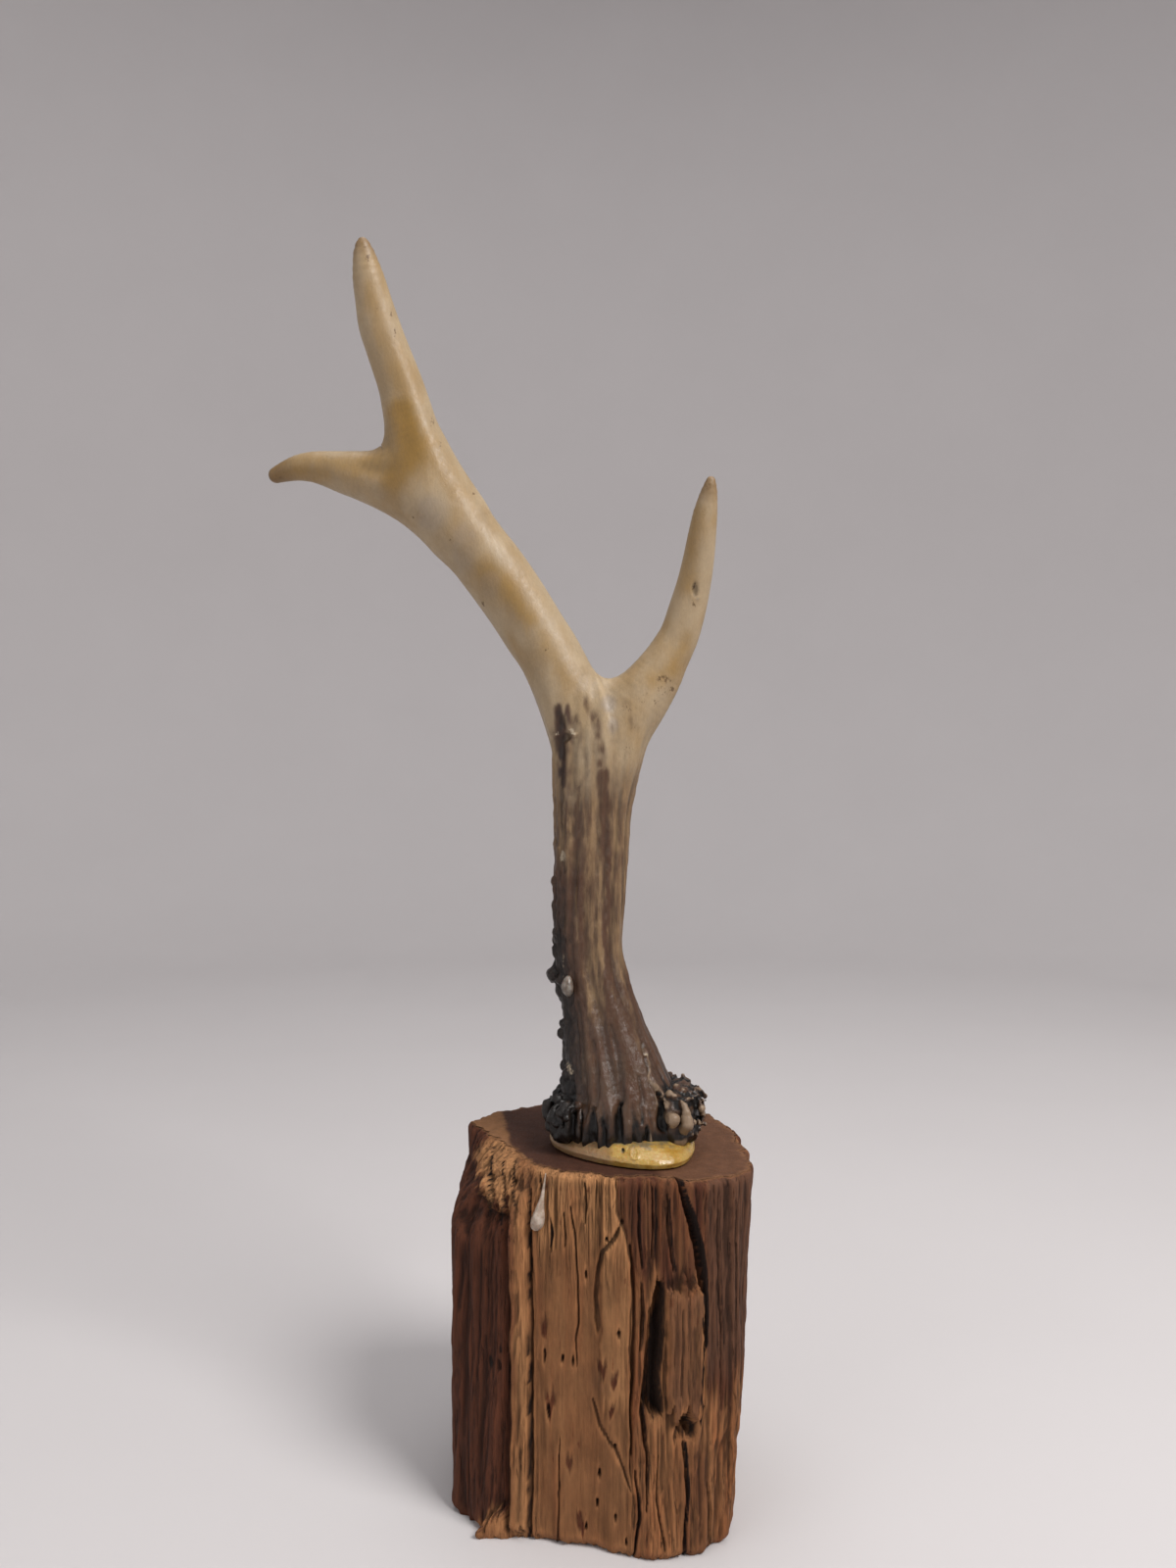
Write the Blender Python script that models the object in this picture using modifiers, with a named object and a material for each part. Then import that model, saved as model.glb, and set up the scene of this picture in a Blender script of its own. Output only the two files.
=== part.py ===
"""A roe deer antler glued upright on a weathered block of wood. Lengths are in millimetres until the last step."""

import math

import bmesh
import bpy
import numpy as np
from mathutils import Vector

MM = 0.001
GAP = 0.3

# Wood block: outlines seen from above, as (x, y) corners going round, at three heights
BLOCK_HEIGHT = 79.2
SHOULDER_HEIGHT = 60.0
TOP_OUTLINE = (
    (31.6, 0.0), (30.7, 12.5), (26.5, 22.7), (16.0, 31.5), (0.0, 35.5), (-16.0, 33.0),
    (-28.0, 26.0), (-34.9, 16.7), (-27.1, 3.8), (-22.3, -5.1), (-17.1, -16.2), (-11.2, -20.7),
    (-4.5, -22.0), (1.7, -25.1), (14.0, -26.3), (18.8, -29.1), (28.3, -23.3), (30.8, -20.7),
)
SHOULDER_OUTLINE = (
    (31.0, 0.0), (30.4, 12.0), (26.5, 22.5), (16.0, 31.5), (0.0, 35.5), (-16.0, 33.0),
    (-29.0, 25.5), (-36.0, 13.0), (-36.3, 0.0), (-33.0, -13.0), (-25.5, -18.5), (-17.5, -19.0),
    (-11.0, -21.3), (-4.5, -22.6), (1.7, -24.8), (14.0, -27.0), (19.5, -27.5), (27.6, -23.3), (29.6, -20.5),
)
BOTTOM_OUTLINE = (
    (27.0, 0.0), (26.6, 10.0), (23.0, 20.5), (14.5, 29.5), (0.0, 34.0), (-15.0, 32.0),
    (-28.0, 25.0), (-35.5, 13.0), (-36.0, 0.0), (-34.0, -13.5), (-28.1, -21.6), (-20.9, -20.0),
    (-10.8, -22.6), (-0.8, -24.5), (8.9, -28.2), (13.9, -27.3), (21.6, -24.2), (25.6, -21.4), (27.0, -13.6),
)
BLOCK_COLUMNS = 260
BLOCK_ROWS = 56
BLOCK_TRIANGLES = 3350

# Antler: spines as (x, y, z, radius), from the foot up
LOWER_SPINE = (
    (4.6, -2.6, 80.9, 13.3), (4.3, -2.6, 84.1, 13.3), (3.4, -2.2, 88.0, 12.9), (2.3, -1.5, 92.0, 12.2),
    (1.3, -0.8, 96.4, 11.3), (-0.2, 0.0, 102.6, 10.0), (-1.0, 0.6, 107.5, 9.1), (-2.3, 1.2, 112.8, 8.5),
    (-3.6, 1.8, 118.7, 8.2), (-4.2, 2.2, 123.6, 8.0), (-4.2, 3.0, 132.2, 8.1), (-3.9, 3.8, 141.4, 8.3),
    (-3.7, 4.6, 150.6, 8.5), (-3.5, 5.4, 159.3, 8.8), (-3.3, 6.0, 165.6, 8.9),
)
UPPER_SPINE = (
    (-3.3, 6.0, 165.6, 8.9), (-4.4, 6.4, 171.4, 8.5), (-6.3, 6.8, 176.5, 8.3), (-9.6, 7.0, 184.3, 7.9),
    (-13.5, 7.0, 192.6, 7.5), (-17.2, 7.0, 198.3, 7.6), (-20.8, 7.0, 204.0, 7.7), (-24.8, 6.8, 209.8, 7.8),
    (-29.1, 6.4, 215.5, 7.8), (-33.8, 6.0, 221.3, 7.5),
)
TOP_SPINE = (
    (-33.8, 6.0, 221.3, 7.5), (-37.0, 5.6, 227.4, 7.2), (-39.9, 5.2, 232.8, 6.9), (-43.4, 4.4, 239.7, 6.6),
    (-45.7, 3.8, 245.0, 6.2), (-47.0, 3.2, 250.3, 5.7), (-48.4, 2.6, 255.6, 5.25), (-51.2, 1.2, 263.4, 4.85),
    (-52.9, 0.0, 268.4, 4.7), (-54.0, -1.2, 273.4, 4.2), (-54.9, -2.6, 278.2, 3.7), (-55.6, -4.0, 282.9, 2.6),
    (-55.8, -4.7, 285.2, 1.75), (-55.8, -4.9, 286.2, 1.0),
)
REAR_SPINE = (
    (-36.5, 6.0, 223.5, 5.0), (-41.8, 6.0, 227.2, 6.0), (-47.0, 6.2, 230.8, 6.5), (-52.4, 6.6, 233.5, 6.3),
    (-58.1, 7.2, 235.3, 5.7), (-62.0, 7.8, 236.2, 5.1), (-65.9, 8.5, 237.2, 4.35), (-69.8, 9.2, 238.0, 3.7),
    (-73.7, 10.0, 238.1, 3.1), (-77.3, 10.9, 237.4, 2.4), (-79.7, 11.5, 236.7, 1.9),
)
FRONT_SPINE = (
    (-2.2, 6.0, 164.5, 6.2), (1.5, 5.8, 173.0, 7.4), (6.4, 5.4, 180.4, 7.2), (11.1, 4.8, 186.8, 6.1),
    (13.6, 4.3, 190.8, 5.3), (15.9, 3.8, 194.9, 4.8), (17.2, 3.2, 197.7, 4.55), (18.8, 2.0, 203.2, 4.3),
    (20.1, 0.6, 208.5, 3.9), (21.0, -1.0, 213.7, 3.6), (21.6, -2.8, 218.7, 3.3), (22.2, -4.6, 223.7, 2.8),
    (22.9, -6.2, 228.2, 1.9), (23.2, -7.0, 230.5, 1.1),
)
FORK_BLEND = 8.0
KNOB_BLEND = 0.6
LEAST_STEEPNESS = 0.25
FOOT_HEIGHT = 81.4
ANTLER_VOXEL = 0.9
ANTLER_TRIANGLES = 4150

# Where the antler is parted at its forks: a point and the direction the branch runs there
FORK_CUTS = (
    ((12.3, 4.4, 190.4), (0.56, -0.1, 0.82)),
    ((-12.2, 7.0, 190.6), (-0.5, 0.0, 0.87)),
    ((-46.4, 3.5, 247.8), (-0.24, -0.1, 0.97)),
    ((-57.2, 7.1, 235.0), (-0.96, 0.1, 0.26)),
)
CUT_SIZE = 22.0

PEARL_SEED = 7
BURR_CENTRE = (4.0, -2.2)

# Glue: its rim seen from above, and the height of its rings with how far out each stands
GLUE_OUTLINE = (
    (-13.4, 1.8), (-12.6, -4.0), (-9.2, -10.0), (-4.0, -15.0), (2.0, -18.6), (8.0, -20.8), (13.0, -21.8),
    (16.0, -21.0), (17.8, -16.0), (19.4, -8.0), (19.4, 0.0), (17.0, 8.0), (11.0, 13.5), (3.5, 15.5),
    (-4.0, 14.0), (-10.0, 9.5),
)
GLUE_RINGS = ((0.0, 1.0), (0.25, 1.02), (0.45, 0.99), (0.7, 0.92), (0.9, 0.83), (1.0, 0.72))
GLUE_HEIGHT = 4.4

WOOD_COLOUR = (0.165, 0.085, 0.042)
IVORY_COLOUR = (0.46, 0.33, 0.19)
BEAM_COLOUR = (0.10, 0.062, 0.034)
GLUE_COLOUR = (0.52, 0.34, 0.09)
DRIP_COLOUR = (0.50, 0.42, 0.30)


def smooth_step(value, low, high):
    t = np.clip((value - low) / (high - low), 0.0, 1.0)
    return t * t * (3.0 - 2.0 * t)


def lattice(i, j, k):
    """A fixed value from 0 to 1 for each whole-numbered point."""
    return np.mod(np.sin(i * 127.1 + j * 311.7 + k * 74.7) * 43758.5453, 1.0)


def noise(x, y, z):
    """Smooth value noise from 0 to 1."""
    i, j, k = np.floor(x), np.floor(y), np.floor(z)
    fx, fy, fz = (smooth_step(v, 0.0, 1.0) for v in (x - i, y - j, z - k))
    total = 0.0
    for di in (0, 1):
        for dj in (0, 1):
            for dk in (0, 1):
                weight = (fx if di else 1 - fx) * (fy if dj else 1 - fy) * (fz if dk else 1 - fz)
                total = total + weight * lattice(i + di, j + dj, k + dk)
    return total


def outline_radius(outline, theta):
    """Distance from the block's axis to an outline, in each direction."""
    corners = np.array(outline)
    angles = np.arctan2(corners[:, 1], corners[:, 0])
    corners, angles = corners[np.argsort(angles)], np.sort(angles)
    start = np.searchsorted(angles, theta) - 1
    first, last = corners[start], corners[(start + 1) % len(corners)]
    edge = last - first
    direction = np.stack([np.cos(theta), np.sin(theta)], axis=-1)
    across = first[:, 0] * edge[:, 1] - first[:, 1] * edge[:, 0]
    return across / (direction[:, 0] * edge[:, 1] - direction[:, 1] * edge[:, 0])


def softened(radius, passes):
    for _ in range(passes):
        radius = (np.roll(radius, 1) + 2 * radius + np.roll(radius, -1)) / 4
    return radius


def stripe(value, low, high, soft):
    """1 from low to high, falling to 0 over a soft edge."""
    return smooth_step(value, low - soft, low + soft) * (1 - smooth_step(value, high - soft, high + soft))


def groove(x, z, path, half_width):
    """1 on a path of (x, z) points, falling to 0 at half_width from it."""
    nearest = np.full(x.shape, 1e9)
    for (ax, az), (bx, bz) in zip(path, path[1:]):
        length = (bx - ax) ** 2 + (bz - az) ** 2
        t = np.clip(((x - ax) * (bx - ax) + (z - az) * (bz - az)) / length, 0, 1)
        nearest = np.minimum(nearest, np.hypot(x - ax - t * (bx - ax), z - az - t * (bz - az)))
    return 1 - smooth_step(nearest, 0.25 * half_width, half_width)


def front_relief(x, z):
    """How far the weathered front of the block is sunk at each place, in mm."""
    recess_foot = np.interp(x, (-30.4, -28.4), (-8.0, 4.0))
    sunk = 2.6 * stripe(x, -32.0, -21.4, 0.9) * stripe(z, recess_foot, 74.0, 2.0)
    sunk -= 1.5 * stripe(x, -20.4, -17.4, 0.6) * stripe(z, 3.0, 73.5, 0.8)
    sunk += 1.6 * stripe(x, -17.0, -16.0, 0.5) * (z < 78)
    layer_edge = np.interp(z, (15.0, 57.7, 65.6, 71.3, 77.5), (4.5, 4.5, 3.8, 1.6, 1.1))
    sunk += 1.1 * stripe(x, layer_edge, 26.0, 0.35) * stripe(z, 9.0, 82.0, 2.0)
    sunk += 1.2 * groove(x, z, ((5.0, 60.0), (5.2, 42.0), (4.8, 20.0)), 1.1)
    channel_left = np.interp(z, (25.0, 29.0, 36.0, 42.0, 50.0, 57.5), (9.6, 7.4, 7.6, 8.2, 9.2, 10.4))
    channel_right = np.interp(z, (26.5, 33.0, 40.0, 57.5), (11.2, 11.0, 12.0, 12.4))
    sunk += 3.4 * stripe(x, channel_left, channel_right, 0.4) * stripe(z, 26.0, 57.5, 1.0)
    sunk -= 1.9 * stripe(x, 12.6, 19.4, 0.35) * stripe(z, 27.6, 57.0, 0.7)
    sunk += 2.8 * stripe(x, 14.2, 17.2, 0.5) * stripe(z, 21.5, 27.0, 0.8)
    sunk += 4.4 * groove(x, z, ((16.0, 80.0), (16.3, 75.0), (18.1, 67.5), (19.5, 61.0), (20.0, 52.0)), 1.5)
    sunk += 2.0 * groove(x, z, ((19.9, 53.0), (20.1, 49.3), (21.2, 44.0), (20.1, 41.0), (19.5, 26.0)), 0.9)
    sunk += 1.3 * groove(x, z, ((2.0, 69.8), (0.1, 63.8), (-2.0, 62.0), (-2.2, 58.8), (-2.8, 45.5)), 1.1)
    sunk += 1.2 * groove(x, z, ((-3.0, 30.8), (-1.6, 26.6), (0.1, 25.3), (1.8, 22.4), (3.4, 18.0)), 1.0)
    sunk += 1.0 * groove(x, z, ((-10.3, 22.2), (-11.4, 0.0)), 0.7)
    sunk += 1.2 * groove(x, z, ((16.8, 14.0), (16.6, -1.0)), 0.9)
    sunk += 1.0 * groove(x, z, ((22.2, 11.8), (22.0, 1.0)), 0.8)
    return sunk


def block_radius(theta, z):
    """The block's radius in each direction (columns) at each height (rows)."""
    top, shoulder, bottom = (
        softened(outline_radius(outline, theta), 3)
        for outline in (TOP_OUTLINE, SHOULDER_OUTLINE, BOTTOM_OUTLINE)
    )
    rise = np.clip((z - SHOULDER_HEIGHT) / (BLOCK_HEIGHT - SHOULDER_HEIGHT), 0, 1)[:, None]
    low = np.clip(z / SHOULDER_HEIGHT, 0, 1)[:, None] ** 0.6
    radius = np.where(rise > 0, shoulder + (top - shoulder) * rise**1.6, bottom + (shoulder - bottom) * low)
    x, y = radius * np.cos(theta), radius * np.sin(theta)
    height = np.broadcast_to(z[:, None], radius.shape)
    front = smooth_step(-y, 2.0, 10.0)
    radius = radius - front * front_relief(x, height)
    flutes = noise(x / 3.2, y / 3.2, height / 34.0) - 0.5
    fibres = noise(x / 1.3 + 9, y / 1.3, height / 14.0) - 0.5
    radius = radius + (1.7 - 0.5 * front) * flutes + 0.7 * fibres
    # the right corner breaks away in a notch
    radius = radius - 0.6 * stripe(np.degrees(theta), -50.0, -8.0, 3.0) * (1 - smooth_step(height, 23.5, 25.0))
    # worn edges above and below
    chips = 0.5 + 1.6 * noise(x / 2.6, y / 2.6, 3.0)
    worn = np.clip(1 - (BLOCK_HEIGHT - height) / 1.3, 0, 1) ** 2 + 1.3 * np.clip(1 - height / 2.2, 0, 1) ** 2
    return radius - 0.7 * chips * worn


def mesh_object(name, points, faces, collection):
    mesh = bpy.data.meshes.new(name)
    mesh.from_pydata([tuple(p) for p in np.asarray(points) * MM], [], faces)
    mesh.update()
    made = bpy.data.objects.new(name, mesh)
    collection.objects.link(made)
    return made


def baked(made):
    """Turn an object's modifiers into its mesh."""
    graph = bpy.context.evaluated_depsgraph_get()
    mesh = bpy.data.meshes.new_from_object(made.evaluated_get(graph))
    made.modifiers.clear()
    old = made.data
    made.data = mesh
    bpy.data.meshes.remove(old)
    return made


def thin_to(made, triangles):
    """Collapse a mesh to about this many triangles."""
    made.data.calc_loop_triangles()
    modifier = made.modifiers.new("thin", "DECIMATE")
    modifier.ratio = triangles / len(made.data.loop_triangles)
    modifier.use_collapse_triangulate = True
    return baked(made)


def cut(made, cutter, operation, solver="EXACT"):
    modifier = made.modifiers.new("cut", "BOOLEAN")
    modifier.operation = operation
    modifier.solver = solver
    modifier.object = cutter
    return baked(made)


def box(name, size, centre, collection):
    """A box with sides and centre in mm."""
    sides = np.array([[x, y, z] for x in (-0.5, 0.5) for y in (-0.5, 0.5) for z in (-0.5, 0.5)])
    faces = [(0, 1, 3, 2), (4, 6, 7, 5), (0, 4, 5, 1), (2, 3, 7, 6), (0, 2, 6, 4), (1, 5, 7, 3)]
    return mesh_object(name, sides * size + centre, faces, collection)


def wood_block(parts, cutters):
    theta = np.linspace(-math.pi, math.pi, BLOCK_COLUMNS, endpoint=False)
    z = np.linspace(-1.0, BLOCK_HEIGHT + 1.0, BLOCK_ROWS)
    radius = block_radius(theta, np.clip(z, 0, BLOCK_HEIGHT))
    x, y = radius * np.cos(theta), radius * np.sin(theta)
    points = np.stack([x, y, np.broadcast_to(z[:, None], x.shape)], axis=-1).reshape(-1, 3)
    faces = []
    for row in range(BLOCK_ROWS - 1):
        for column in range(BLOCK_COLUMNS):
            a = row * BLOCK_COLUMNS + column
            b = row * BLOCK_COLUMNS + (column + 1) % BLOCK_COLUMNS
            faces.append((a, b, b + BLOCK_COLUMNS, a + BLOCK_COLUMNS))
    top = (BLOCK_ROWS - 1) * BLOCK_COLUMNS
    faces.append(tuple(range(BLOCK_COLUMNS - 1, -1, -1)))
    faces.append(tuple(range(top, top + BLOCK_COLUMNS)))
    block = thin_to(mesh_object("wood_block", points, faces, parts), BLOCK_TRIANGLES)
    slab = box("saw_planes", (120, 120, BLOCK_HEIGHT), (0, 0, BLOCK_HEIGHT / 2), cutters)
    return cut(block, slab, "INTERSECT")


def fine_spine(spine, step=1.5):
    """A smooth curve through a spine's points, as closely spaced (x, y, z, radius)."""
    points = np.array(spine)
    padded = np.concatenate([2 * points[:1] - points[1:2], points, 2 * points[-1:] - points[-2:-1]])
    fine = []
    for a, b, c, d in zip(padded, padded[1:], padded[2:], padded[3:]):
        count = max(1, round(float(np.linalg.norm(c[:3] - b[:3])) / step))
        for i in range(count):
            t = i / count
            fine.append(0.5 * (2 * b + (c - a) * t + (2 * a - 5 * b + 4 * c - d) * t**2
                               + (3 * b - a - 3 * c + d) * t**3))
    fine.append(points[-1])
    return np.array(fine)


def branch_distance(points, fine):
    """Distance from a branch's skin, less than 0 inside it."""
    nearest = np.full(len(points), 1e9)
    for a, b in zip(fine, fine[1:]):
        along = b[:3] - a[:3]
        t = np.clip((points - a[:3]) @ along / (along @ along), 0, 1)
        gone = np.linalg.norm(points - a[:3] - t[:, None] * along, axis=1)
        nearest = np.minimum(nearest, gone - a[3] - t * (b[3] - a[3]))
    return nearest


def blend(a, b, width):
    """The nearer of two distances, rounded where they meet."""
    h = np.clip(0.5 + 0.5 * (b - a) / width, 0, 1)
    return b + (a - b) * h - width * h * (1 - h)


def burr_knobs():
    """The knobs round the burr, as (x, y, z, radius), and the finger-like ridges across its front."""
    rng = np.random.default_rng(PEARL_SEED)
    knobs = []
    for degrees in np.arange(-34.0, 216.0, 9.0):
        turn = math.radians(degrees)
        lift = 0.8 * math.cos(turn)
        for height, reach, size in ((85.0, 12.6, 4.0), (88.6 + lift, 11.6, 3.7)):
            knobs.append((BURR_CENTRE[0] + reach * math.cos(turn), BURR_CENTRE[1] + 0.94 * reach * math.sin(turn),
                          height, size))
    for height, reach, size, spacing in ((83.6, 16.4, 1.9, 12.0), (86.8, 17.6, 1.8, 11.0), (90.0, 16.0, 1.6, 12.5)):
        for degrees in np.arange(-40.0, 222.0, spacing):
            turn = math.radians(degrees + rng.uniform(-3, 3))
            out = reach + rng.uniform(-0.6, 0.6)
            lift = 1.6 * math.cos(turn) * (height - 80) / 8
            knobs.append((BURR_CENTRE[0] + out * math.cos(turn), BURR_CENTRE[1] + 0.94 * out * math.sin(turn),
                          height + lift + rng.uniform(-0.5, 0.5), size * rng.uniform(0.8, 1.2)))
    knobs.append((13.6, -14.0, 86.6, 2.1))
    for degrees in np.arange(216.0, 318.0, 8.6):
        turn = math.radians(degrees + rng.uniform(-1.5, 1.5))
        top = rng.uniform(87.0, 91.0)
        for height in np.arange(83.2, top, 0.9):
            reach = np.interp(height, (83, 91), (13.0, 12.2))
            knobs.append((LOWER_SPINE[1][0] + reach * math.cos(turn), LOWER_SPINE[1][1] + reach * math.sin(turn),
                          height, 1.25))
    return knobs


def beam_pearls(lower):
    """The pearls on the left and back of the lower beam, smaller and fewer going up."""
    rng = np.random.default_rng(PEARL_SEED + 1)
    pearls = []
    for _ in range(64):
        height = 95 + 62 * rng.uniform(0, 1) ** 1.4
        angle = math.radians(rng.uniform(100, 205))
        size = rng.uniform(0.7, 1.5) * np.interp(height, (95, 120, 157), (1.15, 1.0, 0.6))
        x, y, z, radius = (np.interp(height, lower[:, 2], lower[:, i]) for i in range(4))
        reach = radius - 0.35 * size
        pearls.append((x + reach * math.cos(angle), y + reach * math.sin(angle), height, size))
    pearls += [(-12.4, 1.5, 117.9, 1.8), (-12.6, 3.0, 116.6, 1.3), (-10.0, 0.5, 106.5, 1.2),
               (-10.2, 1.0, 104.2, 1.3), (-9.3, -2.5, 94.0, 1.5), (-8.6, -4.0, 92.6, 1.3)]
    return pearls


def antler_field(branches, knobs):
    """A function giving each point's distance from the antler's skin."""
    def distance(points):
        lower, upper, top, rear, front = (branch_distance(points, branch) for branch in branches)
        chain = np.minimum(np.minimum(lower, upper), top)
        whole = blend(blend(chain, front, FORK_BLEND), rear, FORK_BLEND)
        for x, y, z, size in knobs:
            near = np.abs(points[:, 2] - z) < size + 4
            away = np.linalg.norm(points[near] - (x, y, z), axis=1) - size
            whole[near] = blend(whole[near], away, KNOB_BLEND)
        return whole
    return distance


def gradient(field, points, step=0.05):
    slope = np.stack([field(points + step * axis) - field(points - step * axis) for axis in np.eye(3)], axis=1)
    return slope / (2 * step)


def beam_ridges(points, lower):
    """Lengthwise ridges and gutters of the lower beam, strongest at the foot."""
    x, y = (np.interp(points[:, 2], lower[:, 2], lower[:, i]) for i in (0, 1))
    angle = np.arctan2(points[:, 1] - y, points[:, 0] - x)
    height = points[:, 2]
    around = np.stack([np.cos(angle), np.sin(angle)], axis=1)
    coarse = noise(around[:, 0] * 3.1 + 5, around[:, 1] * 3.1, height / 38.0) - 0.5
    fine = noise(around[:, 0] * 6.3, around[:, 1] * 6.3 + 3, height / 17.0) - 0.5
    strength = np.interp(height, (80, 88, 110, 160, 182, 190), (1.9, 1.7, 1.2, 0.9, 0.5, 0.0))
    return strength * (1.1 * coarse + 0.7 * fine)


def tube(name, fine, collection):
    """A round tube along a branch, with closed ends."""
    curve = bpy.data.curves.new(name, "CURVE")
    curve.dimensions = "3D"
    curve.bevel_depth = MM
    curve.bevel_resolution = 5
    curve.use_fill_caps = True
    start, end = (tip + (tip - near) / np.linalg.norm(tip[:3] - near[:3]) * 0.8 * tip[3]
                  for tip, near in ((fine[0], fine[1]), (fine[-1], fine[-2])))
    start[3], end[3] = 0.5 * fine[0][3], 0.4 * fine[-1][3]
    fine = [start, *fine, end]
    line = curve.splines.new("POLY")
    line.points.add(len(fine) - 1)
    for point, (x, y, z, radius) in zip(line.points, fine):
        point.co = (x * MM, y * MM, z * MM, 1.0)
        point.radius = radius
    source = bpy.data.objects.new(name, curve)
    collection.objects.link(source)
    graph = bpy.context.evaluated_depsgraph_get()
    mesh = bpy.data.meshes.new_from_object(source.evaluated_get(graph))
    bpy.data.objects.remove(source)
    bpy.data.curves.remove(curve)
    return mesh


def whole_antler(parts, cutters):
    branches = [fine_spine(spine) for spine in (LOWER_SPINE, UPPER_SPINE, TOP_SPINE, REAR_SPINE, FRONT_SPINE)]
    knobs = burr_knobs() + beam_pearls(branches[0])
    shape = bmesh.new()
    for i, branch in enumerate(branches):
        mesh = tube(f"branch_{i}", branch, cutters)
        shape.from_mesh(mesh)
        bpy.data.meshes.remove(mesh)
    for x, y, z, size in knobs:
        ball = bmesh.ops.create_icosphere(shape, subdivisions=2, radius=size * MM)
        bmesh.ops.translate(shape, verts=ball["verts"], vec=Vector((x, y, z)) * MM)
    mesh = bpy.data.meshes.new("antler")
    shape.to_mesh(mesh)
    shape.free()
    antler = bpy.data.objects.new("antler", mesh)
    parts.objects.link(antler)
    remesh = antler.modifiers.new("skin", "REMESH")
    remesh.mode = "VOXEL"
    remesh.voxel_size = ANTLER_VOXEL * MM
    baked(antler)

    points = np.empty(len(antler.data.vertices) * 3)
    antler.data.vertices.foreach_get("co", points)
    points = points.reshape(-1, 3) / MM
    field = antler_field(branches, knobs)
    for _ in range(4):
        slope = gradient(field, points)
        steepness = np.maximum((slope**2).sum(axis=1), LEAST_STEEPNESS)
        points -= np.clip(field(points) / steepness, -1.5, 1.5)[:, None] * slope
    slope = gradient(field, points)
    outwards = slope / np.maximum(np.linalg.norm(slope, axis=1, keepdims=True), 1e-9)
    points += beam_ridges(points, branches[0])[:, None] * outwards
    antler.data.vertices.foreach_set("co", (points * MM).ravel())
    antler.data.update()
    thin_to(antler, ANTLER_TRIANGLES)
    sole = box("foot_plane", (60, 60, 40), (3, 0, FOOT_HEIGHT - 20), cutters)
    return cut(antler, sole, "DIFFERENCE")


def islands(shape):
    """The vertices of each separate body of a mesh."""
    seen = set()
    found = []
    for start in shape.verts:
        if start in seen:
            continue
        seen.add(start)
        island = [start]
        for vertex in island:
            for edge in vertex.link_edges:
                other = edge.other_vert(vertex)
                if other not in seen:
                    seen.add(other)
                    island.append(other)
        found.append(island)
    return found


def main_body(made):
    """Drop the crumbs that a cut leaves beside the main body."""
    shape = bmesh.new()
    shape.from_mesh(made.data)
    bodies = sorted(islands(shape), key=len)
    for crumb in bodies[:-1]:
        bmesh.ops.delete(shape, geom=crumb, context="VERTS")
    shape.to_mesh(made.data)
    shape.free()
    return made


def split_antler(antler, parts, cutters):
    """Part the antler at its forks, leaving a hairline between the pieces."""
    for i, (point, direction) in enumerate(FORK_CUTS):
        slice_box = box(f"fork_cut_{i}", (CUT_SIZE, CUT_SIZE, GAP), (0, 0, 0), cutters)
        slice_box.rotation_mode = "QUATERNION"
        slice_box.rotation_quaternion = Vector(direction).to_track_quat("Z", "Y")
        slice_box.location = Vector(point) * MM
        bpy.context.view_layer.update()
        cut(antler, slice_box, "DIFFERENCE")
    shape = bmesh.new()
    shape.from_mesh(antler.data)
    pieces = []
    for island in islands(shape):
        copy = bmesh.new()
        made = {vertex: copy.verts.new(vertex.co) for vertex in island}
        for face in shape.faces:
            if face.verts[0] in made:
                copy.faces.new([made[vertex] for vertex in face.verts])
        lowest = min(vertex.co.z for vertex in island) / MM
        left = min(vertex.co.x for vertex in island) / MM
        if lowest < 100:
            name = "antler_lower_beam"
        elif lowest > 240:
            name = "antler_top_tine"
        elif left < -70:
            name = "antler_rear_tine"
        elif left > 0:
            name = "antler_front_tine"
        else:
            name = "antler_upper_beam"
        mesh = bpy.data.meshes.new(name)
        copy.to_mesh(mesh)
        copy.free()
        piece = bpy.data.objects.new(name, mesh)
        parts.objects.link(piece)
        pieces.append(piece)
    shape.free()
    bpy.data.objects.remove(antler)
    return pieces


def glue_pad(parts):
    """The squeezed-out adhesive under the antler's foot."""
    rim = 36
    centre = np.array(BURR_CENTRE)
    angles = np.linspace(-math.pi, math.pi, rim, endpoint=False)
    reach = softened(outline_radius(np.array(GLUE_OUTLINE) - centre, angles), 1)
    tall = 2.4 + (GLUE_HEIGHT - 2.4) * (0.5 - 0.5 * np.sin(angles + 0.35))
    points = [
        (centre[0] + spread * out * math.cos(angle), centre[1] + spread * out * math.sin(angle),
         BLOCK_HEIGHT + GAP + height * rise)
        for height, spread in GLUE_RINGS for angle, out, rise in zip(angles, reach, tall)
    ]
    faces = []
    for ring in range(len(GLUE_RINGS) - 1):
        for i in range(rim):
            a, b = ring * rim + i, ring * rim + (i + 1) % rim
            faces.append((a, b, b + rim, a + rim))
    faces.append(tuple(range(rim - 1, -1, -1)))
    faces.append(tuple(range((len(GLUE_RINGS) - 1) * rim, len(GLUE_RINGS) * rim)))
    return mesh_object("glue_pad", points, faces, parts)


def drop(name, centre, half_sizes, tail, parts):
    """A dried drop: an egg shape with a tail drawn up from it."""
    shape = bmesh.new()
    bmesh.ops.create_uvsphere(shape, u_segments=9, v_segments=6, radius=1.0)
    for vertex in shape.verts:
        x, y, z = vertex.co
        slim = 1.0 - 0.45 * max(0.0, z)
        vertex.co = Vector((
            centre[0] + half_sizes[0] * x * slim,
            centre[1] + half_sizes[1] * y * slim,
            centre[2] + half_sizes[2] * z + tail * max(0.0, z) ** 3,
        )) * MM
    bmesh.ops.recalc_face_normals(shape, faces=shape.faces)
    mesh = bpy.data.meshes.new(name)
    shape.to_mesh(mesh)
    shape.free()
    made = bpy.data.objects.new(name, mesh)
    parts.objects.link(made)
    return made


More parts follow.
